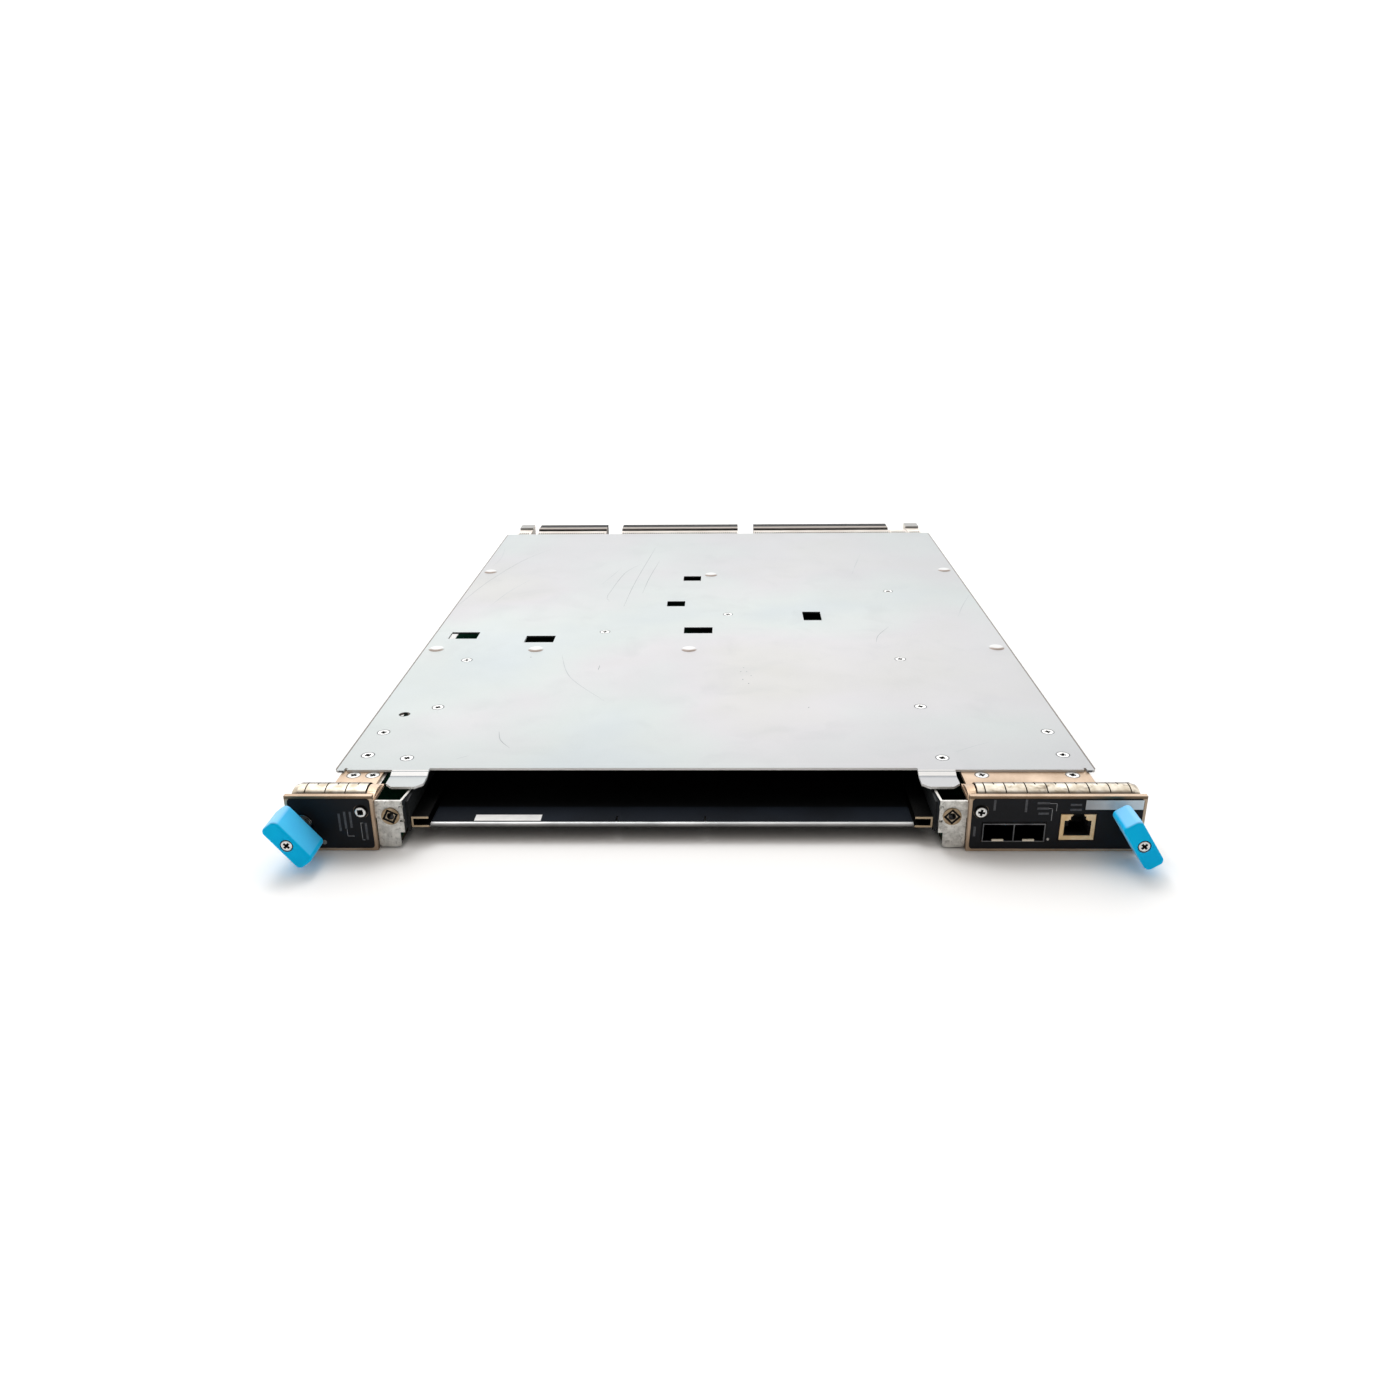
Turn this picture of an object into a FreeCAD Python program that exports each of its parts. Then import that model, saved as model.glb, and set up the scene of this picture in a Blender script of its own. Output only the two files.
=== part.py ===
import FreeCAD, Part
import math
import os
import re

import Sketcher

# Driving dimensions in millimetres and degrees.
# Card coordinates: X to the right, Y back from the front plane, Z up from the table.
sizes = {
    # front plane to the middle of the card
    "face_setback": 268.2,
    # front plates, their shelf and the flange that runs under the cover
    "face_height": 29.3,
    "face_sheet": 2.5,
    "face_reach": 204.2,
    "left_face_width": 42.2,
    "right_face_width": 83.0,
    "shelf_sheet": 1.5,
    "shelf_depth": 20.5,
    "flange_inset": 17.4,
    "left_tail_gap": 2.3,
    "right_flange_tail": 20.8,
    "right_flange_gap": 2.4,
    "flange_step": 44.0,
    "flange_rear": 92.0,
    # dark labels on the front plates
    "overlay_sheet": 0.3,
    "overlay_border": 1.4,
    "overlay_corner": 1.6,
    # contact strips on the shelves
    "gasket_front": 3.0,
    "gasket_rear": 20.0,
    "gasket_rise": 4.1,
    "gasket_metal": 0.4,
    "gasket_pitch": 9.85,
    "gasket_first": 3.65,
    "gasket_slit": 0.6,
    "gasket_spine": 1.4,
    "gasket_end": 4.2,
    "gasket_gap": 4.9,
    # top cover
    "cover_top": 26.8,
    "cover_sheet": 1.2,
    "cover_inset": 13.7,
    "cover_front": 34.0,
    "cover_rear_gap": 0.4,
    "cover_corner": 2.2,
    "bay_edge": 36.0,
    "ear_front": 33.2,
    "ear_width": 4.5,
    "ear_slot": 1.4,
    "tongue_front": 18.2,
    "tongue_width": 18.6,
    "tongue_lap": 4.5,
    "tongue_drop": 1.6,
    "tongue_run": 4.5,
    "tongue_chamfer": 3.5,
    "button_radius": 5.2,
    "button_height": 0.9,
    "button_slope": 56.0,
    "button_crown": 2.6,
    "side_button_inset": 8.5,
    "side_button_front": 216.0,
    "side_button_rear": 402.0,
    "side_hole_radius": 2.7,
    "side_hole_inset": 16.3,
    "side_hole_y": 106.0,
    "outer_window_inset": 20.9,
    # module bay
    "wall_sheet": 1.2,
    "wall_front": 8.0,
    "wall_rear": 208.0,
    "wall_drop": 4.4,
    "wall_flange": 15.0,
    "wall_flange_front": 39.5,
    "wall_screw_inset": 9.0,
    "wall_foot": 17.0,
    "wall_foot_front": 17.0,
    "floor_bottom": 7.6,
    "floor_sheet": 1.2,
    "floor_front": 11.0,
    "floor_rear_gap": 3.0,
    "floor_hem": 5.0,
    "floor_hem_round": 1.1,
    "floor_slit": 1.0,
    "floor_slit_length": 5.0,
    "left_slit_offset": 26.9,
    "right_slit_offset": 16.6,
    "film_sheet": 0.3,
    "film_margin": 2.0,
    "film_side_gap": 0.3,
    "rail_width": 8.4,
    "rail_height": 5.5,
    "rail_wall": 0.9,
    "rail_front": 9.5,
    "rail_rear_gap": 5.0,
    "seat_clearance": 0.3,
    # brackets at the bay mouth
    "bracket_sheet": 1.2,
    "bracket_width": 13.3,
    "bracket_drop": 1.4,
    "bracket_step": 8.5,
    "bracket_tab_bottom": 0.7,
    "bracket_tab_inset": 2.3,
    "bracket_corner": 1.8,
    "bracket_side_drop": 4.0,
    "bracket_slope_end": 20.0,
    "bracket_depth": 32.0,
    "bracket_ear_bottom": 16.5,
    "left_lug_reach": 24.3,
    "right_lug_reach": 19.8,
    "lug_inset": 2.8,
    "lug_rear": 39.0,
    "notch_high": 21.5,
    "notch_low": 14.0,
    "notch_height": 1.1,
    "notch_depth": 1.8,
    # floating nuts
    "nut_height": 17.4,
    "nut_inset": 6.1,
    "retainer_radius": 4.4,
    "retainer_rim": 0.7,
    "retainer_neck": 3.7,
    "retainer_back": 1.5,
    "nut_square": 4.6,
    "nut_play": 0.15,
    "nut_length": 3.2,
    "nut_collar": 3.4,
    "nut_collar_sheet": 1.2,
    "nut_bore": 1.5,
    "left_nut_turn": 27.0,
    "right_nut_turn": 45.0,
    # circuit board and what it carries
    "board_bottom": 3.0,
    "board_sheet": 2.4,
    "board_inset": 0.5,
    "board_front": 4.5,
    "board_rear_gap": 0.3,
    "board_notch": 40.0,
    "standoff_radius": 3.0,
    "standoff_bore": 8.0,
    "spacer_radius": 3.2,
    "chip_side": 40.0,
    "chip_height": 3.0,
    "left_chip_x": -95.0,
    "left_chip_y": 342.0,
    "right_chip_x": 75.0,
    "right_chip_y": 402.0,
    "sink_width": 90.0,
    "sink_depth": 85.0,
    "sink_base": 4.0,
    "sink_gap": 3.1,
    "fin_sheet": 1.2,
    "fin_pitch": 4.9,
    "control_chip_side": 27.0,
    "control_chip_height": 2.6,
    "control_chip_x": -22.0,
    "control_chip_y": 430.0,
    "brick_width": 37.0,
    "brick_depth": 58.0,
    "brick_height": 11.0,
    "brick_inset": 30.0,
    "brick_row_front": 265.0,
    "brick_rear_gap": 97.0,
    "can_radius": 5.0,
    "can_height": 13.0,
    "can_pitch": 13.0,
    "can_inset": 50.0,
    "can_rear_gap": 27.0,
    "module_connector_gap": 1.0,
    "module_connector_depth": 15.0,
    "module_connector_half": 70.0,
    "module_connector_top": 20.0,
    "module_slot_depth": 9.0,
    "module_slot_wall": 2.0,
    # rear connectors
    "wafer_depth": 13.6,
    "wafer_bevel": 2.0,
    "connector_drop": 0.5,
    "housing_rear": 558.8,
    "housing_depth": 17.8,
    "housing_rise": 1.8,
    "housing_step": 0.4,
    "housing_ridge_start": 1.0,
    "housing_ridge_width": 4.0,
    "left_block_inset": 26.0,
    "left_block_width": 62.5,
    "left_block_gap": 14.3,
    "right_block_inset": 34.0,
    "right_block_width": 122.6,
    "right_block_gap": 14.5,
    "power_block_width": 15.9,
    "power_block_gap": 0.4,
    "power_block_drop": 2.2,
    "left_guide_inset": 8.0,
    "guide_width": 12.0,
    "guide_step": 5.0,
    "guide_bore": 3.2,
    "guide_bore_depth": 22.0,
    "guide_bore_height": 14.0,
    # transceiver cage
    "cage_inset": 7.0,
    "cage_width": 29.6,
    "cage_height": 9.7,
    "cage_wall": 0.5,
    "cage_front": 0.8,
    "cage_depth": 48.0,
    "cage_tab": 5.5,
    "cage_tab_height": 0.8,
    "cage_seat_front": 34.0,
    "cage_seat_width": 12.0,
    "cage_plug_width": 11.0,
    "cage_plug_height": 6.0,
    "cage_plug_depth": 9.0,
    "cutout_clearance": 0.4,
    # network jack
    "jack_inset": 43.5,
    "jack_width": 16.3,
    "jack_top": 19.8,
    "jack_bottom": 6.4,
    "jack_front": 0.5,
    "jack_depth": 21.5,
    "jack_shell": 0.6,
    "jack_play": 0.1,
    "jack_foot_inset": 2.0,
    "jack_foot_front": 6.0,
    "jack_port_bottom": 8.5,
    "jack_port_shoulder": 13.8,
    "jack_port_neck": 17.1,
    "jack_port_top": 19.5,
    "jack_port_half": 6.2,
    "jack_shoulder_half": 4.5,
    "jack_neck_half": 2.95,
    "jack_port_depth": 13.0,
    "contact_pitch": 1.02,
    "contact_wire": 0.4,
    # indicator beside the left grip
    "lens_inset": 16.6,
    "lens_height": 4.6,
    "lens_radius": 1.2,
    "lens_length": 4.0,
    # turning grips and their jackscrews
    "ejector_inset": 7.7,
    "ejector_height": 15.2,
    "left_grip_turn": 52.4,
    "right_grip_turn": 57.7,
    "grip_length": 25.7,
    "grip_thick": 9.4,
    "grip_depth": 17.6,
    "grip_gap": 5.2,
    "grip_corner": 2.6,
    "grip_round": 1.2,
    "grip_back_round": 0.7,
    "shaft_radius": 3.0,
    "shaft_end": 30.0,
    "shaft_tip": 1.2,
    "shaft_collar": 4.2,
    "shaft_square": 4.4,
    "shaft_square_length": 8.0,
    "square_play": 0.05,
    "collar_gap": 0.3,
    "bushing_radius": 4.0,
    "bushing_rim": 4.8,
    "bushing_rim_sheet": 1.3,
    "bushing_rear": 6.5,
    "bushing_play": 0.05,
    "press_play": 0.05,
    "clip_gap": 0.4,
    "clip_sheet": 0.8,
    "clip_radius": 5.0,
    "clip_groove": 2.4,
    "clip_play": 0.05,
    "clip_mouth": 4.0,
    # fasteners
    "screw_head": 2.95,
    "screw_shank": 1.45,
    "screw_length": 5.0,
    "screw_play": 0.05,
    "pan_head": 2.85,
    "pan_height": 1.5,
    "pan_seat": 3.15,
    "face_seat": 3.6,
    "face_screw_length": 7.0,
    "grip_screw_length": 17.0,
    "cross_length": 3.0,
    "cross_width": 0.7,
    "cross_depth": 0.7,
    "left_face_screw_inset": 5.9,
    "right_face_screw_inset": 5.6,
    "face_screw_drop": 5.5,
    "wall_row_front": 48.0,
    "wall_row_middle": 116.4,
    "wall_row_rear_gap": 13.2,
    "corner_screw_inset": 25.2,
    "corner_row_front": 51.6,
    "corner_row_rear": 80.8,
    "post_front_x": -75.0,
    "post_front_y": 250.0,
    "post_middle_x": 8.7,
    "post_middle_y": 288.0,
    "post_side_x": 129.4,
    "post_side_y": 343.3,
    "flange_row": 30.4,
    "left_flange_screw_first": 24.1,
    "left_flange_screw_second": 33.7,
    "right_flange_screw_first": 12.1,
    "right_flange_screw_second": 26.1,
    "spacer_inset": 6.0,
}

# Windows in the cover, each as the X and Y of its middle, its width and its depth.
windows = {
    "rear": (-18.8, 380.1, 13.6, 12.8),
    "middle": (-29.05, 313.55, 13.1, 12.3),
    "front": (-11.7, 252.7, 19.4, 12.8),
    "right": (67.85, 283.5, 12.7, 19.4),
    "left": (-117.2, 235.35, 19.6, 13.3),
}
# The window near the left edge, which keeps its distance from it: Y of its middle, width and depth.
outer_window = (243.1, 19.2, 13.6)
# Raised buttons of the cover away from its edges, each as the X and Y of its middle.
buttons = {
    "bay_left": (-116.7, 214.7),
    "bay_middle": (-16.9, 214.2),
    "rear": (-4.3, 390.6),
}
for name, numbers in windows.items():
    for word, number in zip(("x", "y", "width", "depth"), numbers):
        sizes[f"{name}_window_{word}"] = number
for word, number in zip(("y", "width", "depth"), outer_window):
    sizes[f"outer_window_{word}"] = number
for name, numbers in buttons.items():
    for word, number in zip("xy", numbers):
        sizes[f"{name}_button_{word}"] = number

doc = FreeCAD.newDocument("switch_control_board")
sheet = doc.addObject("Spreadsheet::Sheet", "sizes")
for row, (alias, number) in enumerate(sizes.items(), start=1):
    sheet.set(f"A{row}", alias)
    sheet.set(f"B{row}", str(number))
    sheet.setAlias(f"B{row}", alias)
doc.recompute()

# Heights and places that several pieces share.
board_top = "(board_bottom + board_sheet)"
cover_bottom = "(cover_top - cover_sheet)"
shelf_bottom = "(cover_top - cover_sheet - shelf_sheet)"
floor_top = "(floor_bottom + floor_sheet)"
bracket_top = "(cover_top - bracket_drop)"
face_screw_height = "(cover_top - face_screw_drop)"
connector_top = "(cover_top - connector_drop)"
left_inner = "(left_face_width - face_reach)"
right_inner = "(face_reach - right_face_width)"
left_wall_outer = f"({left_inner} + bracket_width)"
right_wall_outer = f"({right_inner} - bracket_width)"
left_wall_inner = f"({left_wall_outer} + wall_sheet)"
right_wall_inner = f"({right_wall_outer} - wall_sheet)"
bay_middle = f"(({left_wall_inner} + {right_wall_inner}) / 2)"
cover_left = "(cover_inset - face_reach)"
cover_right = "(face_reach - cover_inset)"
board_left = f"({cover_left} + board_inset)"
board_right = f"({cover_right} - board_inset)"
wafer_rear = "(housing_rear - housing_depth)"
wafer_front = f"({wafer_rear} - wafer_depth)"
cover_rear = f"({wafer_front} - cover_rear_gap)"
floor_rear = "(wall_rear - floor_rear_gap)"
cage_start = f"({right_inner} + cage_inset)"
jack_start = f"({right_inner} + jack_inset)"
lens_x = "(lens_inset - face_reach)"
left_corner_screw = "(corner_screw_inset - face_reach)"
right_corner_screw = "(face_reach - corner_screw_inset)"
left_wall_screw = f"({left_wall_outer} - wall_screw_inset)"
right_wall_screw = f"({right_wall_outer} + wall_screw_inset)"
thread_hole = "(screw_shank + screw_play)"
wall_rows = ("wall_row_front", "wall_row_middle", "(wall_rear - wall_row_rear_gap)")
corner_rows = ("corner_row_front", "corner_row_rear")
posts = [
    ("post_front_x", "post_front_y"),
    ("post_middle_x", "post_middle_y"),
    ("post_side_x", "post_side_y"),
]
cover_screw_places = [(x, row) for x in (left_wall_screw, right_wall_screw) for row in wall_rows]
cover_screw_places += [(x, row) for x in (left_corner_screw, right_corner_screw) for row in corner_rows]
cover_screw_places += posts
window_xs = {name: f"{name}_window_x" for name in windows}
window_xs["outer"] = f"({cover_left} + outer_window_inset)"
side_button_xs = (f"({cover_left} + side_button_inset)", f"({cover_right} - side_button_inset)")
button_places = [(f"{name}_button_x", f"{name}_button_y") for name in buttons]
button_places += [(x, row) for x in side_button_xs for row in ("side_button_front", "side_button_rear")]
subparts = []


def bound(text):
    """Turns an expression in plain aliases into one that reads the sheet."""
    return re.sub(r"[a-z_]+", lambda word: "sizes." + word[0] if word[0] in sizes else word[0], text)


def value(text):
    return float(sheet.evalExpression(bound(text)))


def place(piece, label, x="0", z="0", turn=None):
    """Labels a finished piece and seats it in the frame whose origin is under the middle of the card."""
    piece.Label = label
    if turn:
        piece.Placement = FreeCAD.Placement(
            FreeCAD.Vector(), FreeCAD.Rotation(FreeCAD.Vector(0, 1, 0), value(turn))
        )
        piece.setExpression("Placement.Rotation.Angle", bound(turn))
    piece.setExpression("Placement.Base.x", bound(x))
    piece.setExpression("Placement.Base.y", bound("-face_setback"))
    piece.setExpression("Placement.Base.z", bound(z))
    subparts.append(piece)
    return piece


def new_body(label, x="0", z="0", turn=None):
    return place(doc.addObject("PartDesign::Body", label), label, x, z, turn)


def new_sketch(body, role, name, offset="0"):
    sketch = body.newObject("Sketcher::SketchObject", f"{body.Name}_{name}")
    plane = next(item for item in body.Origin.OriginFeatures if item.Role == role)
    sketch.AttachmentSupport = [(plane, "")]
    sketch.MapMode = "FlatFace"
    sketch.setExpression("AttachmentOffset.Base.z", bound(offset))
    return sketch


def plan_sketch(body, name, z):
    """A sketch seen from above: its axes are X and Y."""
    return new_sketch(body, "XY_Plane", name, z)


def front_sketch(body, name, y):
    """A sketch seen from the front: its axes are X and Z, and its normal points forward."""
    return new_sketch(body, "XZ_Plane", name, f"-({y})")


def side_sketch(body, name, x):
    """A sketch seen from the side: its axes are Y and Z."""
    return new_sketch(body, "YZ_Plane", name, x)


def fix_point(sketch, geometry, end, x, y):
    for kind, text in (("DistanceX", x), ("DistanceY", y)):
        index = sketch.addConstraint(Sketcher.Constraint(kind, -1, 1, geometry, end, value(text)))
        sketch.setExpression(f"Constraints[{index}]", bound(text))


def polygon(sketch, points):
    first = sketch.GeometryCount
    corners = [FreeCAD.Vector(value(x), value(y), 0) for x, y in points]
    count = len(corners)
    for i in range(count):
        sketch.addGeometry(Part.LineSegment(corners[i], corners[(i + 1) % count]))
    for i in range(count):
        sketch.addConstraint(
            Sketcher.Constraint("Coincident", first + i, 2, first + (i + 1) % count, 1)
        )
    for i, (x, y) in enumerate(points):
        fix_point(sketch, first + i, 1, x, y)


def rectangle(sketch, x_start, y_start, x_end, y_end):
    polygon(sketch, [(x_start, y_start), (x_end, y_start), (x_end, y_end), (x_start, y_end)])


def circle(sketch, x, y, radius):
    centre = FreeCAD.Vector(value(x), value(y), 0)
    index = sketch.addGeometry(Part.Circle(centre, FreeCAD.Vector(0, 0, 1), value(radius)))
    constraint = sketch.addConstraint(Sketcher.Constraint("Radius", index, value(radius)))
    sketch.setExpression(f"Constraints[{constraint}]", bound(radius))
    fix_point(sketch, index, 3, x, y)


def pad(body, sketch, length, reverse=False):
    feature = body.newObject("PartDesign::Pad", sketch.Name + "_pad")
    feature.Profile = sketch
    feature.setExpression("Length", bound(length))
    feature.Reversed = reverse
    doc.recompute()
    return feature


def pocket(body, sketch, length, taper=0):
    """Cuts against the sketch's normal, and makes sure that something was cut."""
    before = body.Shape.Volume
    feature = body.newObject("PartDesign::Pocket", sketch.Name + "_pocket")
    feature.Profile = sketch
    feature.setExpression("Length", bound(length))
    feature.TaperAngle = taper
    doc.recompute()
    if body.Shape.Volume >= before:
        raise RuntimeError(f"{feature.Name} cut nothing")
    return feature


def edges_where(body, test):
    edges = body.Tip.Shape.Edges
    return [f"Edge{i + 1}" for i, edge in enumerate(edges) if test(edge)]


def fillet(body, name, radius, test):
    base = body.Tip
    names = edges_where(body, test)
    feature = body.newObject("PartDesign::Fillet", f"{body.Name}_{name}")
    feature.Base = (base, names)
    feature.setExpression("Radius", bound(radius))
    doc.recompute()
    return feature


def runs_along(edge, axis):
    ends = [vertex.Point for vertex in edge.Vertexes]
    if len(ends) < 2:
        return False
    run = ends[1] - ends[0]
    others = [abs(run[i]) for i in range(3) if i != axis]
    return abs(run[axis]) > 0.01 and max(others) < 0.001


def near(edge, **place_texts):
    """True where the middle of an edge lies at the given card coordinates."""
    centre = edge.CenterOfMass
    return all(
        abs(getattr(centre, axis) - value(text)) < 0.05 for axis, text in place_texts.items()
    )


def vector(x, y, z):
    return FreeCAD.Vector(value(x), value(y), value(z))


def box_piece(label, start, end):
    """A plain block between two corners, each given as three expressions."""
    block = doc.addObject("Part::Box", label)
    for side, low, high in zip(("Length", "Width", "Height"), start, end):
        block.setExpression(side, bound(f"({high}) - ({low})"))
    place(block, label, start[0], start[2])
    block.setExpression("Placement.Base.y", bound(f"{start[1]} - face_setback"))
    return block


def group_piece(label, solids):
    """Several equal solids in one piece, such as a set of screws."""
    piece = doc.addObject("Part::Feature", label)
    piece.Shape = Part.makeCompound(solids) if len(solids) > 1 else solids[0]
    return place(piece, label)


def cross_recess(top, turn):
    """The driver recess under the top of a screw head, turned so that it opens outward."""
    length = value("cross_length")
    width = value("cross_width")
    depth = value("cross_depth")
    bars = [
        Part.makeBox(along, across, depth, FreeCAD.Vector(-along / 2, -across / 2, -depth))
        for along, across in ((length, width), (width, length))
    ]
    cross = bars[0].fuse(bars[1]).removeSplitter()
    cross.Placement = FreeCAD.Placement(top, turn)
    return cross


def flat_screw(top):
    """A countersunk screw that points down, with its head flush at the given point."""
    down = FreeCAD.Vector(0, 0, -1)
    head = value("screw_head")
    depth = value("cover_sheet")
    cone = Part.makeCone(head, head - depth, depth, top, down)
    shank = Part.makeCylinder(value("screw_shank"), value("screw_length"), top, down)
    screw = cone.fuse(shank).removeSplitter()
    return screw.cut(cross_recess(top, FreeCAD.Rotation()))


def pan_screw(seat, length):
    """A pan-head screw that points back from its seat, with its head in front."""
    back = FreeCAD.Vector(0, 1, 0)
    height = value("pan_height")
    front = seat - back * height
    screw = Part.makeCylinder(value("pan_head"), height, front, back)
    rim = [edge for edge in screw.Edges if abs(edge.CenterOfMass.y - front.y) < 0.01]
    screw = screw.makeFillet(height / 2, rim)
    screw = screw.fuse(Part.makeCylinder(value("screw_shank"), length, seat, back)).removeSplitter()
    return screw.cut(cross_recess(front, FreeCAD.Rotation(FreeCAD.Vector(1, 0, 0), 90)))


# What differs between the left and the right half of the front.
left = {
    "name": "left",
    "outer": "(-face_reach)",
    "inner": left_inner,
    "ejector": "(ejector_inset - face_reach)",
    "grip_turn": "left_grip_turn",
    "face_screw": f"({left_inner} - left_face_screw_inset)",
    "flange_screws": (
        "(left_flange_screw_first - face_reach)",
        "(left_flange_screw_second - face_reach)",
    ),
    "corner_screw": left_corner_screw,
    "tail_inner": f"({left_wall_outer} - wall_flange - left_tail_gap)",
    "gasket_start": "(gasket_end - face_reach)",
    "gasket_length": "(left_face_width - gasket_end - gasket_gap)",
    "wall_inner": left_wall_inner,
    "wall_outer": left_wall_outer,
    "wall_screw": left_wall_screw,
    "lug_outer": f"({left_inner} - left_lug_reach)",
    "out": "-1",
    "turn_nut": "left_nut_turn",
}
right = {
    "name": "right",
    "outer": "face_reach",
    "inner": right_inner,
    "ejector": "(face_reach - ejector_inset)",
    "grip_turn": "right_grip_turn",
    "face_screw": f"({right_inner} + right_face_screw_inset)",
    "flange_screws": (
        f"({right_inner} + right_flange_screw_first)",
        "(face_reach - right_flange_screw_second)",
    ),
    "corner_screw": right_corner_screw,
    "tail_inner": "(face_reach - flange_inset - right_flange_tail)",
    "gasket_start": f"({right_inner} + gasket_gap)",
    "gasket_length": "(right_face_width - gasket_end - gasket_gap)",
    "wall_inner": right_wall_inner,
    "wall_outer": right_wall_outer,
    "wall_screw": right_wall_screw,
    "lug_outer": f"({right_inner} + right_lug_reach)",
    "out": "1",
    "turn_nut": "right_nut_turn",
}
sides = (left, right)


def shifted(side, start, distance):
    """A place that lies the given distance outward from start, away from the bay."""
    return f"({start} + {side['out']} * ({distance}))"


def cage_opening(sketch, clearance):
    rectangle(
        sketch,
        f"{cage_start} - {clearance}",
        f"{board_top} - {clearance}",
        f"{cage_start} + cage_width + {clearance}",
        f"{board_top} + cage_height + {clearance}",
    )


def jack_opening(sketch, clearance):
    rectangle(
        sketch,
        f"{jack_start} - {clearance}",
        f"jack_bottom - {clearance}",
        f"{jack_start} + jack_width + {clearance}",
        f"jack_top + {clearance}",
    )


def front_holes(side, sketch, screw_radius):
    """The holes that a front plate and its label share."""
    circle(sketch, side["ejector"], "ejector_height", "bushing_radius + press_play")
    circle(sketch, side["face_screw"], face_screw_height, screw_radius)
    if side is left:
        circle(sketch, lens_x, "lens_height", "lens_radius + press_play")
    else:
        cage_opening(sketch, "cutout_clearance")
        jack_opening(sketch, "cutout_clearance")


def faceplate(side):
    body = new_body(side["name"] + "_faceplate")
    front = front_sketch(body, "front", "0")
    rectangle(front, side["outer"], "0", side["inner"], "face_height")
    pad(body, front, "face_sheet", reverse=True)
    shelf = plan_sketch(body, "shelf", cover_bottom)
    flange_outer = shifted(side, side["outer"], "-flange_inset")
    tail_inner = side["tail_inner"]
    outline = [
        (side["outer"], "face_sheet"),
        (side["inner"], "face_sheet"),
        (side["inner"], "shelf_depth"),
    ]
    if side is right:
        flange_inner = f"({right_inner} + right_flange_gap)"
        outline += [
            (flange_inner, "shelf_depth"),
            (flange_inner, "flange_step"),
            (tail_inner, "flange_step"),
        ]
    else:
        outline += [(tail_inner, "shelf_depth")]
    outline += [
        (tail_inner, "flange_rear"),
        (flange_outer, "flange_rear"),
        (flange_outer, "shelf_depth"),
        (side["outer"], "shelf_depth"),
    ]
    polygon(shelf, outline)
    pad(body, shelf, "shelf_sheet", reverse=True)
    holes = front_sketch(body, "holes", "0")
    front_holes(side, holes, thread_hole + " + screw_play")
    pocket(body, holes, "face_sheet")
    sinks = plan_sketch(body, "screw_seats", cover_bottom)
    for x in side["flange_screws"]:
        circle(sinks, x, "flange_row", "screw_head + screw_play")
    pocket(body, sinks, "shelf_sheet", taper=-45)
    threads = plan_sketch(body, "threads", cover_bottom)
    for row in corner_rows:
        circle(threads, side["corner_screw"], row, thread_hole)
    for x in side["flange_screws"]:
        circle(threads, x, "flange_row", thread_hole)
    pocket(body, threads, "shelf_sheet")


def overlay(side):
    body = new_body(side["name"] + "_overlay")
    front = front_sketch(body, "front", "0")
    rectangle(
        front,
        shifted(side, side["outer"], "-overlay_border"),
        "overlay_border",
        shifted(side, side["inner"], "overlay_border"),
        "face_height - overlay_border",
    )
    pad(body, front, "overlay_sheet")
    holes = front_sketch(body, "holes", "-overlay_sheet")
    front_holes(side, holes, "face_seat")
    pocket(body, holes, "overlay_sheet")
    corners = (
        shifted(side, side["outer"], "-overlay_border"),
        shifted(side, side["inner"], "overlay_border"),
    )
    fillet(
        body,
        "corners",
        "overlay_corner",
        lambda edge: runs_along(edge, 1) and any(near(edge, x=corner) for corner in corners),
    )


def gasket(side):
    body = new_body(side["name"] + "_gasket")
    section = side_sketch(body, "section", side["gasket_start"])
    arches = []
    for inset in ("0", "gasket_metal"):
        start = f"(gasket_front + {inset})"
        end = f"(gasket_rear - {inset})"
        crest = f"({cover_bottom} + gasket_rise - {inset})"
        middle = f"(({start} + {end}) / 2)"
        arc = Part.Arc(
            vector(end, cover_bottom, "0"), vector(middle, crest, "0"), vector(start, cover_bottom, "0")
        )
        index = section.addGeometry(arc)
        fix_point(section, index, 1, end, cover_bottom)
        fix_point(section, index, 2, start, cover_bottom)
        half = f"(({end} - {start}) / 2)"
        rise = f"(gasket_rise - {inset})"
        radius = f"({half} * {half} + {rise} * {rise}) / (2 * {rise})"
        constraint = section.addConstraint(Sketcher.Constraint("Radius", index, value(radius)))
        section.setExpression(f"Constraints[{constraint}]", bound(radius))
        arches.append(index)
    for end in (1, 2):
        points = [section.getPoint(index, end) for index in arches]
        line = section.addGeometry(Part.LineSegment(*points))
        for line_end, index in zip((1, 2), arches):
            section.addConstraint(Sketcher.Constraint("Coincident", line, line_end, index, end))
    pad(body, section, side["gasket_length"])
    slits = plan_sketch(body, "slits", f"{cover_bottom} + 2 * gasket_rise")
    length = value(f"{side['gasket_length']} - gasket_first")
    pitch = value("gasket_pitch")
    middle = "((gasket_front + gasket_rear) / 2)"
    first = f"({side['gasket_start']} + gasket_first - gasket_slit / 2)"
    for half_step in range(math.ceil(2 * length / pitch)):
        start = f"({first} + {half_step} * gasket_pitch / 2)"
        front_end = "gasket_front - 1" if half_step % 2 == 0 else middle
        rectangle(slits, start, front_end, f"{start} + gasket_slit", "gasket_rear - gasket_spine")
    pocket(body, slits, "2 * gasket_rise")


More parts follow.
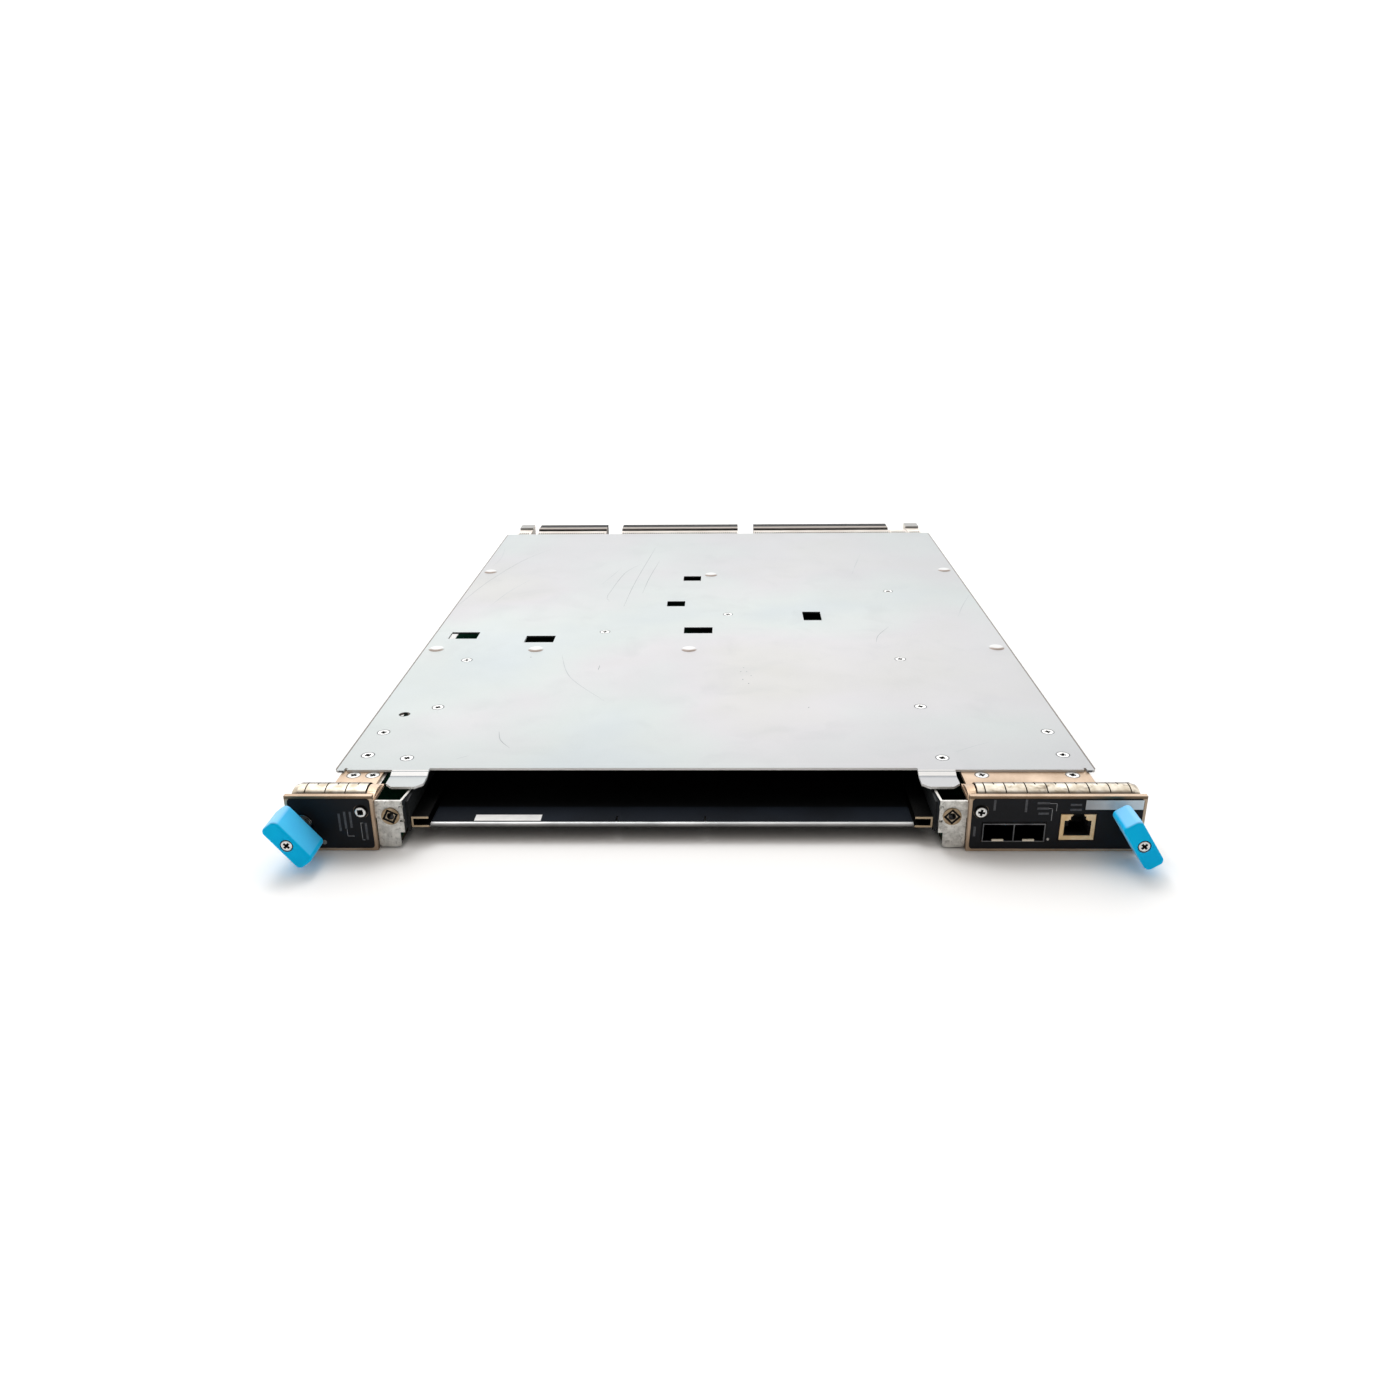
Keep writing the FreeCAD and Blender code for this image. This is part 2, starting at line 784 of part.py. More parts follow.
def top_cover():
    body = new_body("top_cover")
    outline = plan_sketch(body, "outline", cover_bottom)
    half = [
        (cover_right, "ear_front"),
        (f"{cover_right} - ear_width", "ear_front"),
        (f"{cover_right} - ear_width", "bay_edge"),
        (f"{cover_right} - ear_width - ear_slot", "bay_edge"),
        (f"{cover_right} - ear_width - ear_slot", "cover_front"),
    ]
    left_tongue_inner = f"({left_wall_inner} + tongue_lap)"
    right_tongue_inner = f"({right_wall_inner} - tongue_lap)"
    points = [(f"-({x})", y) for x, y in half]
    points += [
        (left_tongue_inner, "cover_front"),
        (left_tongue_inner, "bay_edge"),
        (right_tongue_inner, "bay_edge"),
        (right_tongue_inner, "cover_front"),
    ]
    points += half[::-1]
    points += [(cover_right, cover_rear), (cover_left, cover_rear)]
    polygon(outline, points)
    pad(body, outline, "cover_sheet")
    tongue_top = "(cover_top - tongue_drop)"
    tongue_bottom = f"({cover_bottom} - tongue_drop)"
    joggle_end = "(cover_front - tongue_run)"
    for name, start in (
        ("left_tongue", f"{left_tongue_inner} - tongue_width"),
        ("right_tongue", right_tongue_inner),
    ):
        tongue = side_sketch(body, name, start)
        polygon(
            tongue,
            [
                ("cover_front", cover_bottom),
                ("cover_front", "cover_top"),
                (joggle_end, tongue_top),
                ("tongue_front", tongue_top),
                ("tongue_front", tongue_bottom),
                (joggle_end, tongue_bottom),
            ],
        )
        pad(body, tongue, "tongue_width")
    corners = plan_sketch(body, "tongue_corners", "cover_top")
    for inner, width in ((left_tongue_inner, "-tongue_width"), (right_tongue_inner, "tongue_width")):
        way = f"({width} / tongue_width * tongue_chamfer)"
        for x, inward in ((inner, way), (f"({inner} + {width})", f"(-{way})")):
            polygon(
                corners,
                [
                    (x, "tongue_front"),
                    (f"{x} + {inward}", "tongue_front"),
                    (x, "tongue_front + tongue_chamfer"),
                ],
            )
    pocket(body, corners, "cover_sheet + tongue_drop")
    openings = plan_sketch(body, "windows", "cover_top")
    for name, x in window_xs.items():
        rectangle(
            openings,
            f"{x} - {name}_window_width / 2",
            f"{name}_window_y - {name}_window_depth / 2",
            f"{x} + {name}_window_width / 2",
            f"{name}_window_y + {name}_window_depth / 2",
        )
    circle(openings, f"{cover_left} + side_hole_inset", "side_hole_y", "side_hole_radius")
    pocket(body, openings, "cover_sheet")
    raised = plan_sketch(body, "buttons", "cover_top")
    for x, y in button_places:
        circle(raised, x, y, "button_radius")
    rise = pad(body, raised, "button_height")
    rise.setExpression("TaperAngle", bound("-button_slope"))
    doc.recompute()
    crown = "cover_top + button_height"
    fillet(body, "crowns", "button_crown", lambda edge: near(edge, z=crown))
    seats = plan_sketch(body, "screw_seats", "cover_top")
    for x, y in cover_screw_places:
        circle(seats, x, y, "screw_head + screw_play")
    pocket(body, seats, "cover_sheet", taper=-45)
    fillet(
        body,
        "corners",
        "cover_corner",
        lambda edge: runs_along(edge, 2) and abs(abs(edge.CenterOfMass.x) - value(cover_right)) < 0.05,
    )


def bracket(side):
    body = new_body(side["name"] + "_bracket")
    edge_gap = shifted(side, side["inner"], "-seat_clearance")
    tab_inner = shifted(side, side["wall_outer"], "bracket_tab_inset")
    front = front_sketch(body, "front", "face_sheet")
    polygon(
        front,
        [
            (side["wall_outer"], "bracket_step"),
            (side["wall_outer"], bracket_top),
            (edge_gap, bracket_top),
            (edge_gap, shelf_bottom),
            (side["lug_outer"], shelf_bottom),
            (side["lug_outer"], "bracket_ear_bottom"),
            (edge_gap, "bracket_ear_bottom"),
            (edge_gap, "bracket_tab_bottom"),
            (tab_inner, "bracket_tab_bottom"),
            (tab_inner, "bracket_step"),
        ],
    )
    pad(body, front, "bracket_sheet", reverse=True)
    side_wall = side_sketch(body, "side", side["wall_outer"])
    polygon(
        side_wall,
        [
            ("face_sheet", "bracket_step"),
            ("face_sheet", bracket_top),
            ("bracket_slope_end", "cover_top - bracket_side_drop"),
            ("bracket_depth", "cover_top - bracket_side_drop"),
            ("bracket_depth", "bracket_step"),
        ],
    )
    pad(body, side_wall, "bracket_sheet", reverse=side is left)
    lug = plan_sketch(body, "lug", shelf_bottom)
    rectangle(
        lug,
        side["lug_outer"],
        "face_sheet",
        shifted(side, side["inner"], "lug_inset"),
        "lug_rear",
    )
    pad(body, lug, "bracket_sheet", reverse=True)
    holes = front_sketch(body, "holes", "face_sheet")
    circle(holes, shifted(side, side["wall_outer"], "nut_inset"), "nut_height", "retainer_neck + press_play")
    circle(holes, side["face_screw"], face_screw_height, thread_hole)
    for height in ("notch_high", "notch_low"):
        rectangle(
            holes,
            side["wall_outer"],
            height,
            shifted(side, side["wall_outer"], "notch_depth"),
            f"{height} + notch_height",
        )
    pocket(body, holes, "bracket_sheet")
    threads = plan_sketch(body, "threads", shelf_bottom)
    for x in side["flange_screws"]:
        if abs(value(x)) < abs(value(side["lug_outer"])):
            circle(threads, x, "flange_row", thread_hole)
    pocket(body, threads, "bracket_sheet")
    fillet(
        body,
        "corners",
        "bracket_corner",
        lambda edge: runs_along(edge, 1) and near(edge, z="bracket_tab_bottom"),
    )


def bay_wall(side):
    body = new_body(side["name"] + "_bay_wall")
    foot_top = "floor_bottom"
    foot_bottom = "(floor_bottom - wall_sheet)"
    low_top = "(cover_top - wall_drop)"
    web = side_sketch(body, "web", side["wall_inner"])
    polygon(
        web,
        [
            ("wall_front", foot_bottom),
            ("wall_front", low_top),
            ("wall_flange_front", low_top),
            ("wall_flange_front", cover_bottom),
            ("wall_rear", cover_bottom),
            ("wall_rear", foot_bottom),
        ],
    )
    pad(body, web, "wall_sheet", reverse=side is left)
    flange = plan_sketch(body, "flange", cover_bottom)
    rectangle(
        flange,
        side["wall_outer"],
        "wall_flange_front",
        shifted(side, side["wall_outer"], "wall_flange"),
        "wall_rear",
    )
    pad(body, flange, "wall_sheet", reverse=True)
    foot = plan_sketch(body, "foot", foot_top)
    rectangle(
        foot,
        side["wall_inner"],
        "wall_foot_front",
        shifted(side, side["wall_inner"], "-wall_foot"),
        floor_rear,
    )
    pad(body, foot, "wall_sheet", reverse=True)
    threads = plan_sketch(body, "threads", cover_bottom)
    for row in wall_rows:
        circle(threads, side["wall_screw"], row, thread_hole)
    pocket(body, threads, "wall_sheet")


def rail(side):
    """A channel that opens towards the middle of the bay and guides the module's edge."""
    body = new_body(side["name"] + "_rail")
    back = shifted(side, side["wall_inner"], "-seat_clearance")
    mouth = shifted(side, side["wall_inner"], "-seat_clearance - rail_width")
    web = shifted(side, side["wall_inner"], "-seat_clearance - rail_wall")
    top = "(floor_bottom + rail_height)"
    section = front_sketch(body, "section", "rail_front")
    polygon(
        section,
        [
            (back, "floor_bottom"),
            (mouth, "floor_bottom"),
            (mouth, "floor_bottom + rail_wall"),
            (web, "floor_bottom + rail_wall"),
            (web, f"{top} - rail_wall"),
            (mouth, f"{top} - rail_wall"),
            (mouth, top),
            (back, top),
        ],
    )
    pad(body, section, "wall_rear - rail_rear_gap - rail_front", reverse=True)


floor_start = f"({left_wall_inner} + 2 * seat_clearance + rail_width)"
floor_end = f"({right_wall_inner} - 2 * seat_clearance - rail_width)"
film_front = "(floor_front + film_margin)"


def floor_slits(sketch):
    """Two slits just behind the hem, through the film and the floor."""
    for middle in (f"({bay_middle} - left_slit_offset)", f"({bay_middle} + right_slit_offset)"):
        rectangle(
            sketch,
            f"{middle} - floor_slit / 2",
            film_front,
            f"{middle} + floor_slit / 2",
            f"{film_front} + floor_slit_length",
        )


def bay_floor():
    body = new_body("bay_floor")
    hem_bottom = "(floor_bottom - floor_sheet)"
    hem_rear = "(floor_front + floor_hem)"
    section = side_sketch(body, "section", floor_start)
    polygon(
        section,
        [
            ("floor_front", hem_bottom),
            ("floor_front", floor_top),
            (floor_rear, floor_top),
            (floor_rear, "floor_bottom"),
            (hem_rear, "floor_bottom"),
            (hem_rear, hem_bottom),
        ],
    )
    pad(body, section, f"{floor_end} - {floor_start}")
    fillet(
        body,
        "hem_fold",
        "floor_hem_round",
        lambda edge: runs_along(edge, 0) and near(edge, y="floor_front"),
    )
    slits = plan_sketch(body, "slits", floor_top)
    floor_slits(slits)
    pocket(body, slits, "2 * floor_sheet")


def bay_film():
    body = new_body("bay_film")
    outline = plan_sketch(body, "outline", floor_top)
    rectangle(
        outline,
        f"{floor_start} + film_side_gap",
        film_front,
        f"{floor_end} - film_side_gap",
        f"{floor_rear} - film_margin",
    )
    pad(body, outline, "film_sheet")
    slits = plan_sketch(body, "slits", f"{floor_top} + film_sheet")
    floor_slits(slits)
    pocket(body, slits, "film_sheet")


def main_board():
    body = new_body("main_board")
    notch_start = f"({left_wall_outer} - bracket_tab_inset)"
    notch_end = f"({right_wall_outer} + bracket_tab_inset)"
    board_rear = f"({wafer_rear} - board_rear_gap)"
    outline = plan_sketch(body, "outline", "board_bottom")
    polygon(
        outline,
        [
            (board_left, "board_front"),
            (notch_start, "board_front"),
            (notch_start, "board_notch"),
            (notch_end, "board_notch"),
            (notch_end, "board_front"),
            (board_right, "board_front"),
            (board_right, board_rear),
            (board_left, board_rear),
        ],
    )
    pad(body, outline, "board_sheet")


def heat_sink(name, x, y):
    """A finned block on a chip; the fins run across the card, along the side-to-side airflow."""
    body = new_body(name)
    base_bottom = f"({board_top} + chip_height)"
    fin_bottom = f"({base_bottom} + sink_base)"
    base = plan_sketch(body, "base", base_bottom)
    rectangle(
        base,
        f"{x} - sink_width / 2",
        f"{y} - sink_depth / 2",
        f"{x} + sink_width / 2",
        f"{y} + sink_depth / 2",
    )
    pad(body, base, "sink_base")
    fin_sketch = plan_sketch(body, "fin", fin_bottom)
    rectangle(
        fin_sketch,
        f"{x} - sink_width / 2",
        f"{y} - sink_depth / 2",
        f"{x} + sink_width / 2",
        f"{y} - sink_depth / 2 + fin_sheet",
    )
    fin = pad(body, fin_sketch, f"{cover_bottom} - sink_gap - {fin_bottom}")
    fins = body.newObject("PartDesign::LinearPattern", f"{name}_fins")
    fins.Originals = [fin]
    fins.Direction = (fin_sketch, ["V_Axis"])
    count = int((value("sink_depth") - value("fin_sheet")) / value("fin_pitch")) + 1
    fins.Occurrences = count
    fins.setExpression("Length", bound(f"{count - 1} * fin_pitch"))
    body.Tip = fins
    doc.recompute()


def module_connector():
    body = new_body("module_connector")
    front = f"({floor_rear} + module_connector_gap)"
    block = plan_sketch(body, "block", board_top)
    rectangle(
        block,
        f"{bay_middle} - module_connector_half",
        front,
        f"{bay_middle} + module_connector_half",
        f"{front} + module_connector_depth",
    )
    pad(body, block, f"module_connector_top - {board_top}")
    slot = front_sketch(body, "slot", front)
    rectangle(
        slot,
        f"{bay_middle} - module_connector_half + module_slot_wall",
        f"{board_top} + 2 * module_slot_wall",
        f"{bay_middle} + module_connector_half - module_slot_wall",
        "module_connector_top - module_slot_wall",
    )
    pocket(body, slot, "module_slot_depth")


def wafers(name, start, end):
    """The row of contact wafers that stands on the rear edge of the board."""
    body = new_body(name)
    section = side_sketch(body, "section", start)
    polygon(
        section,
        [
            (wafer_front, board_top),
            (wafer_rear, board_top),
            (wafer_rear, connector_top),
            (f"{wafer_front} + wafer_bevel", connector_top),
            (wafer_front, f"{connector_top} - wafer_bevel"),
        ],
    )
    pad(body, section, f"{end} - {start}")


def housing(name, start, end):
    """The connector's shroud behind the board's edge, with a raised rib along its top."""
    body = new_body(name)
    section = side_sketch(body, "section", start)
    ridge = f"({connector_top} + housing_rise)"
    shoulder = f"({ridge} - housing_step)"
    ridge_front = f"({wafer_rear} + housing_ridge_start)"
    ridge_rear = f"({ridge_front} + housing_ridge_width)"
    polygon(
        section,
        [
            (wafer_rear, "0"),
            ("housing_rear", "0"),
            ("housing_rear", shoulder),
            (ridge_rear, shoulder),
            (ridge_rear, ridge),
            (ridge_front, ridge),
            (ridge_front, shoulder),
            (wafer_rear, shoulder),
        ],
    )
    pad(body, section, f"{end} - {start}")


def guide(name, start):
    """A guide module: it stands on the board, steps up and down behind its edge and takes a guide pin."""
    body = new_body(name)
    section = side_sketch(body, "section", start)
    polygon(
        section,
        [
            (wafer_front, board_top),
            (wafer_rear, board_top),
            (wafer_rear, "0"),
            ("housing_rear", "0"),
            ("housing_rear", f"{connector_top} + housing_rise"),
            (f"{wafer_rear} + guide_step", f"{connector_top} + housing_rise"),
            (f"{wafer_rear} + guide_step", connector_top),
            (wafer_front, connector_top),
        ],
    )
    pad(body, section, "guide_width")
    bore = front_sketch(body, "bore", "housing_rear - guide_bore_depth")
    circle(bore, f"{start} + guide_width / 2", "guide_bore_height", "guide_bore")
    pocket(body, bore, "guide_bore_depth")


def transceiver_cage():
    body = new_body("sfp_cage")
    top = f"({board_top} + cage_height)"
    front_plane = "(-cage_front)"
    shell = front_sketch(body, "shell", front_plane)
    rectangle(shell, cage_start, board_top, f"{cage_start} + cage_width", top)
    pad(body, shell, "cage_depth", reverse=True)
    port_width = "((cage_width - 3 * cage_wall) / 2)"
    port_starts = [f"({cage_start} + cage_wall)", f"({cage_start} + 2 * cage_wall + {port_width})"]
    ports = front_sketch(body, "ports", front_plane)
    for start in port_starts:
        rectangle(
            ports, start, f"{board_top} + cage_wall", f"{start} + {port_width}", f"{top} - cage_wall"
        )
    pocket(body, ports, "cage_depth - cage_wall")
    seats = plan_sketch(body, "seats", f"{board_top} + cage_wall")
    for start in port_starts:
        centre = f"({start} + {port_width} / 2)"
        rectangle(
            seats,
            f"{centre} - cage_seat_width / 2",
            "cage_seat_front",
            f"{centre} + cage_seat_width / 2",
            "cage_depth - cage_front - 2 * cage_wall",
        )
    pocket(body, seats, "cage_wall")
    tabs = front_sketch(body, "tabs", front_plane)
    for start in port_starts:
        centre = f"({start} + {port_width} / 2)"
        rectangle(
            tabs,
            f"{centre} - cage_tab / 2",
            f"{board_top} + cage_wall",
            f"{centre} + cage_tab / 2",
            f"{board_top} + cage_wall + cage_tab_height",
        )
    pad(body, tabs, "2 * cage_wall", reverse=True)
    plugs = []
    for start in port_starts:
        corner = vector(
            f"{start} + {port_width} / 2 - cage_plug_width / 2", "cage_seat_front + cage_wall", board_top
        )
        plugs.append(
            Part.makeBox(
                value("cage_plug_width"), value("cage_plug_depth"), value("cage_plug_height"), corner
            )
        )
    group_piece("sfp_connectors", plugs)


def jack_port(sketch):
    """The stepped opening of the jack: full width for the plug, narrower for its latch."""
    centre = f"({jack_start} + jack_width / 2)"
    steps = (
        ("jack_port_half", "jack_port_bottom", "jack_port_shoulder"),
        ("jack_shoulder_half", "jack_port_shoulder", "jack_port_neck"),
        ("jack_neck_half", "jack_port_neck", "jack_port_top"),
    )
    rising = []
    for half, low, high in steps:
        rising += [(f"{centre} + {half}", low), (f"{centre} + {half}", high)]
    falling = []
    for half, low, high in reversed(steps):
        falling += [(f"{centre} - {half}", high), (f"{centre} - {half}", low)]
    polygon(sketch, rising + falling)


def network_jack():
    shield = new_body("rj45_shield")
    front_plane = "(-jack_front)"
    shell = front_sketch(shield, "shell", front_plane)
    rectangle(shell, jack_start, "jack_bottom", f"{jack_start} + jack_width", "jack_top")
    pad(shield, shell, "jack_depth", reverse=True)
    inside = front_sketch(shield, "inside", f"{front_plane} + jack_shell")
    rectangle(
        inside,
        f"{jack_start} + jack_shell",
        "jack_bottom",
        f"{jack_start} + jack_width - jack_shell",
        "jack_top - jack_shell",
    )
    pocket(shield, inside, "jack_depth")
    mouth = front_sketch(shield, "mouth", front_plane)
    jack_port(mouth)
    pocket(shield, mouth, "jack_shell")
    insert = new_body("rj45_insert")
    insert_front = f"({front_plane} + jack_shell + jack_play)"
    block = front_sketch(insert, "block", insert_front)
    rectangle(
        block,
        f"{jack_start} + jack_shell + jack_play",
        "jack_bottom",
        f"{jack_start} + jack_width - jack_shell - jack_play",
        "jack_top - jack_shell - jack_play",
    )
    pad(insert, block, "jack_depth - jack_shell - jack_play", reverse=True)
    foot = plan_sketch(insert, "foot", board_top)
    rectangle(
        foot,
        f"{jack_start} + jack_foot_inset",
        "jack_foot_front",
        f"{jack_start} + jack_width - jack_foot_inset",
        "jack_depth - jack_front",
    )
    pad(insert, foot, f"jack_bottom - {board_top}")
    hollow = front_sketch(insert, "hollow", insert_front)
    jack_port(hollow)
    pocket(insert, hollow, "jack_port_depth")
    contacts = []
    for i in range(8):
        corner = vector(
            f"{jack_start} + jack_width / 2 + ({i} - 3.5) * contact_pitch - contact_wire / 2",
            f"{insert_front} + jack_port_depth / 4",
            "jack_port_bottom",
        )
        wire = value("contact_wire")
        contacts.append(Part.makeBox(wire, 0.75 * value("jack_port_depth"), wire, corner))
    group_piece("rj45_contacts", contacts)


def floating_nuts():
    back = FreeCAD.Vector(0, 1, 0)
    retainers = []
    nuts = []
    for side in sides:
        centre = vector(shifted(side, side["wall_outer"], "nut_inset"), "face_sheet", "nut_height")
        sheet_back = centre + back * value("bracket_sheet")
        rim = Part.makeCylinder(
            value("retainer_radius"), value("retainer_rim"), centre - back * value("retainer_rim"), back
        )
        neck = Part.makeCylinder(value("retainer_neck"), value("bracket_sheet"), centre, back)
        flare = Part.makeCylinder(value("retainer_radius"), value("retainer_back"), sheet_back, back)
        retainer = rim.fuse([neck, flare]).removeSplitter()
        turn = FreeCAD.Rotation(back, value(side["turn_nut"]))
        window = value("nut_square + 2 * nut_play")
        depth = value("retainer_rim + bracket_sheet + retainer_back")
        hole = Part.makeBox(window, depth, window, FreeCAD.Vector(-window / 2, 0, -window / 2))
        hole.Placement = FreeCAD.Placement(
            centre - back * value("retainer_rim"), turn
        ).multiply(hole.Placement)
        retainers.append(retainer.cut(hole))
        square = value("nut_square")
        nut = Part.makeBox(
            square, value("nut_length"), square, FreeCAD.Vector(-square / 2, 0, -square / 2)
        )
        rear = value("nut_length")
        nut = nut.fuse(
            Part.makeCylinder(
                value("nut_collar"), value("nut_collar_sheet"), FreeCAD.Vector(0, rear, 0), back
            )
        )
        bore_length = rear + value("nut_collar_sheet")
        nut = nut.cut(Part.makeCylinder(value("nut_bore"), bore_length, FreeCAD.Vector(), back))
        nut.Placement = FreeCAD.Placement(
            sheet_back + back * (value("retainer_back") + value("nut_play") - rear), turn
        ).multiply(nut.Placement)
        nuts.append(nut)
    group_piece("nut_retainers", retainers)
    group_piece("floating_nuts", nuts)


def grip(side):
    body = new_body(side["name"] + "_grip", side["ejector"], "ejector_height", side["grip_turn"])
    outline = front_sketch(body, "outline", "-grip_gap")
    rectangle(outline, "-grip_length / 2", "-grip_thick / 2", "grip_length / 2", "grip_thick / 2")
    pad(body, outline, "grip_depth")
    fillet(body, "corners", "grip_corner", lambda edge: runs_along(edge, 1))
    front = "-grip_gap - grip_depth"
    fillet(body, "front_round", "grip_round", lambda edge: near(edge, y=front))
    fillet(body, "back_round", "grip_back_round", lambda edge: near(edge, y="-grip_gap"))
    seat = front_sketch(body, "seat", front)
    circle(seat, "0", "0", "pan_seat")
    pocket(body, seat, "pan_height")
    hole = front_sketch(body, "hole", front)
    circle(hole, "0", "0", thread_hole)
    pocket(body, hole, "grip_depth")
    socket = front_sketch(body, "socket", "-grip_gap - shaft_square_length - square_play")
    half = "(shaft_square / 2 + square_play)"
    rectangle(socket, f"-{half}", f"-{half}", half, half)
    pocket(body, socket, "shaft_square_length + square_play")
    screw = doc.addObject("Part::Feature", side["name"] + "_grip_screw")
    screw.Shape = pan_screw(vector("0", f"{front} + pan_height", "0"), value("grip_screw_length"))
    place(screw, side["name"] + "_grip_screw", side["ejector"], "ejector_height", side["grip_turn"])


def turned_piece(body, name, points):
    """Revolves a half section, given as radius and place along Y, about the body's Y axis."""
    section = plan_sketch(body, name, "0")
    polygon(section, points)
    feature = body.newObject("PartDesign::Revolution", f"{body.Name}_{name}_turn")
    feature.Profile = section
    feature.ReferenceAxis = (section, ["V_Axis"])
    feature.Angle = 360
    doc.recompute()
    return feature


rim_front = "(-overlay_sheet - bushing_rim_sheet)"
collar_rear = f"({rim_front} - collar_gap)"
groove_start = "(bushing_rear + clip_gap)"
groove_end = f"({groove_start} + clip_sheet + 2 * clip_play)"


def jackscrew(side):
    body = new_body(side["name"] + "_jackscrew", side["ejector"], "ejector_height", side["grip_turn"])
    turned_piece(
        body,
        "shaft",
        [
            ("0", "-grip_gap"),
            ("shaft_collar", "-grip_gap"),
            ("shaft_collar", collar_rear),
            ("shaft_radius", collar_rear),
            ("shaft_radius", groove_start),
            ("clip_groove", groove_start),
            ("clip_groove", groove_end),
            ("shaft_radius", groove_end),
            ("shaft_radius", "shaft_end - shaft_tip"),
            ("shaft_radius - shaft_tip", "shaft_end"),
            ("0", "shaft_end"),
        ],
    )
    square = front_sketch(body, "square", "-grip_gap")
    half = "(shaft_square / 2)"
    rectangle(square, f"-{half}", f"-{half}", half, half)
    pad(body, square, "shaft_square_length")
    thread = front_sketch(body, "thread", "-grip_gap - shaft_square_length")
    circle(thread, "0", "0", thread_hole)
    pocket(body, thread, "shaft_square_length + grip_gap")


def bushing(side):
    body = new_body(side["name"] + "_bushing", side["ejector"], "ejector_height")
    bore = "(shaft_radius + bushing_play)"
    turned_piece(
        body,
        "sleeve",
        [
            (bore, rim_front),
            ("bushing_rim", rim_front),
            ("bushing_rim", "-overlay_sheet"),
            ("bushing_radius", "-overlay_sheet"),
            ("bushing_radius", "bushing_rear"),
            (bore, "bushing_rear"),
        ],
    )


def clip(side):
    """An open retaining ring in the jackscrew's groove."""
    back = FreeCAD.Vector(0, 1, 0)
    start = vector("0", f"{groove_start} + clip_play", "0")
    thickness = value("clip_sheet")
    mouth = value("clip_mouth")
    radius = value("clip_radius")
    ring = Part.makeCylinder(radius, thickness, start, back)
    ring = ring.cut(Part.makeCylinder(value("clip_groove + clip_play"), thickness, start, back))
    ring = ring.cut(
        Part.makeBox(mouth, thickness, radius, start - FreeCAD.Vector(mouth / 2, 0, radius))
    )
    piece = doc.addObject("Part::Feature", side["name"] + "_clip")
    piece.Shape = ring
    place(piece, side["name"] + "_clip", side["ejector"], "ejector_height", side["grip_turn"])


def standoff(x, y, top):
    """A hexagonal post on the board with a screw hole in its upper end."""
    bottom = value(board_top)
    height = value(top) - bottom
    radius = value("standoff_radius") / math.cos(math.pi / 6)
    centre = vector(x, y, board_top)
    corners = [
        centre + FreeCAD.Vector(radius * math.cos(i * math.pi / 3), radius * math.sin(i * math.pi / 3), 0)
        for i in range(7)
    ]
    post = Part.Face(Part.makePolygon(corners)).extrude(FreeCAD.Vector(0, 0, height))
    depth = value("standoff_bore")
    return post.cut(
        Part.makeCylinder(value(thread_hole), depth, centre + FreeCAD.Vector(0, 0, height - depth))
    )


def board_pieces():
    """Chips, power modules and capacitors that stand on the board."""
    chips = []
    side_length = value("chip_side")
    for x, y in (("left_chip_x", "left_chip_y"), ("right_chip_x", "right_chip_y")):
        corner = vector(f"{x} - chip_side / 2", f"{y} - chip_side / 2", board_top)
        chips.append(Part.makeBox(side_length, side_length, value("chip_height"), corner))
    group_piece("fabric_chips", chips)
    box_piece(
        "control_chip",
        ("control_chip_x - control_chip_side / 2", "control_chip_y - control_chip_side / 2", board_top),
        (
            "control_chip_x + control_chip_side / 2",
            "control_chip_y + control_chip_side / 2",
            f"{board_top} + control_chip_height",
        ),
    )
    bricks = []
    left_brick = f"({board_left} + brick_inset)"
    right_brick = f"({board_right} - brick_inset)"
    rear_row = f"({cover_rear} - brick_rear_gap)"
    for x, y in ((right_brick, "brick_row_front"), (right_brick, rear_row), (left_brick, rear_row)):
        corner = vector(f"{x} - brick_width / 2", f"{y} - brick_depth / 2", board_top)
        bricks.append(
            Part.makeBox(value("brick_width"), value("brick_depth"), value("brick_height"), corner)
        )
    group_piece("power_modules", bricks)
    cans = []
    for i in range(3):
        for j in range(2):
            foot = vector(
                f"{board_right} - can_inset + {i} * can_pitch",
                f"{cover_rear} - can_rear_gap + {j} * can_pitch",
                board_top,
            )
            cans.append(Part.makeCylinder(value("can_radius"), value("can_height"), foot))
    group_piece("bulk_capacitors", cans)


def spacers():
    """Short posts that carry the feet of the bay walls on the board."""
    height = value(f"floor_bottom - wall_sheet - {board_top}")
    posts_under_bay = []
    for side in sides:
        x = shifted(side, side["wall_inner"], "-spacer_inset")
        for row in wall_rows:
            foot = vector(x, row, board_top)
            posts_under_bay.append(Part.makeCylinder(value("spacer_radius"), height, foot))
    group_piece("bay_spacers", posts_under_bay)


top_cover()
for side in sides:
    faceplate(side)
    overlay(side)
    gasket(side)
    bracket(side)
    bay_wall(side)
    rail(side)
    grip(side)
    jackscrew(side)
    bushing(side)
    clip(side)
floating_nuts()
bay_floor()
bay_film()
main_board()
board_pieces()
heat_sink("left_heat_sink", "left_chip_x", "left_chip_y")
heat_sink("right_heat_sink", "right_chip_x", "right_chip_y")
module_connector()
left_block_start = f"({board_left} + left_block_inset)"
left_block_end = f"({left_block_start} + left_block_width)"
right_block_end = f"({board_right} - right_block_inset)"
right_block_start = f"({right_block_end} - right_block_width)"
power_block_start = f"({right_block_end} + power_block_gap)"
power_block_end = f"({power_block_start} + power_block_width)"
for name, start, end in (
    ("left", left_block_start, left_block_end),
    ("middle", f"({left_block_end} + left_block_gap)", f"({right_block_start} - right_block_gap)"),
    ("right", right_block_start, right_block_end),
):
    wafers(f"{name}_wafers", start, end)
    housing(f"{name}_housing", start, end)
box_piece(
    "power_block",
    (power_block_start, wafer_front, board_top),
    (power_block_end, wafer_rear, "(cover_top - power_block_drop)"),
)
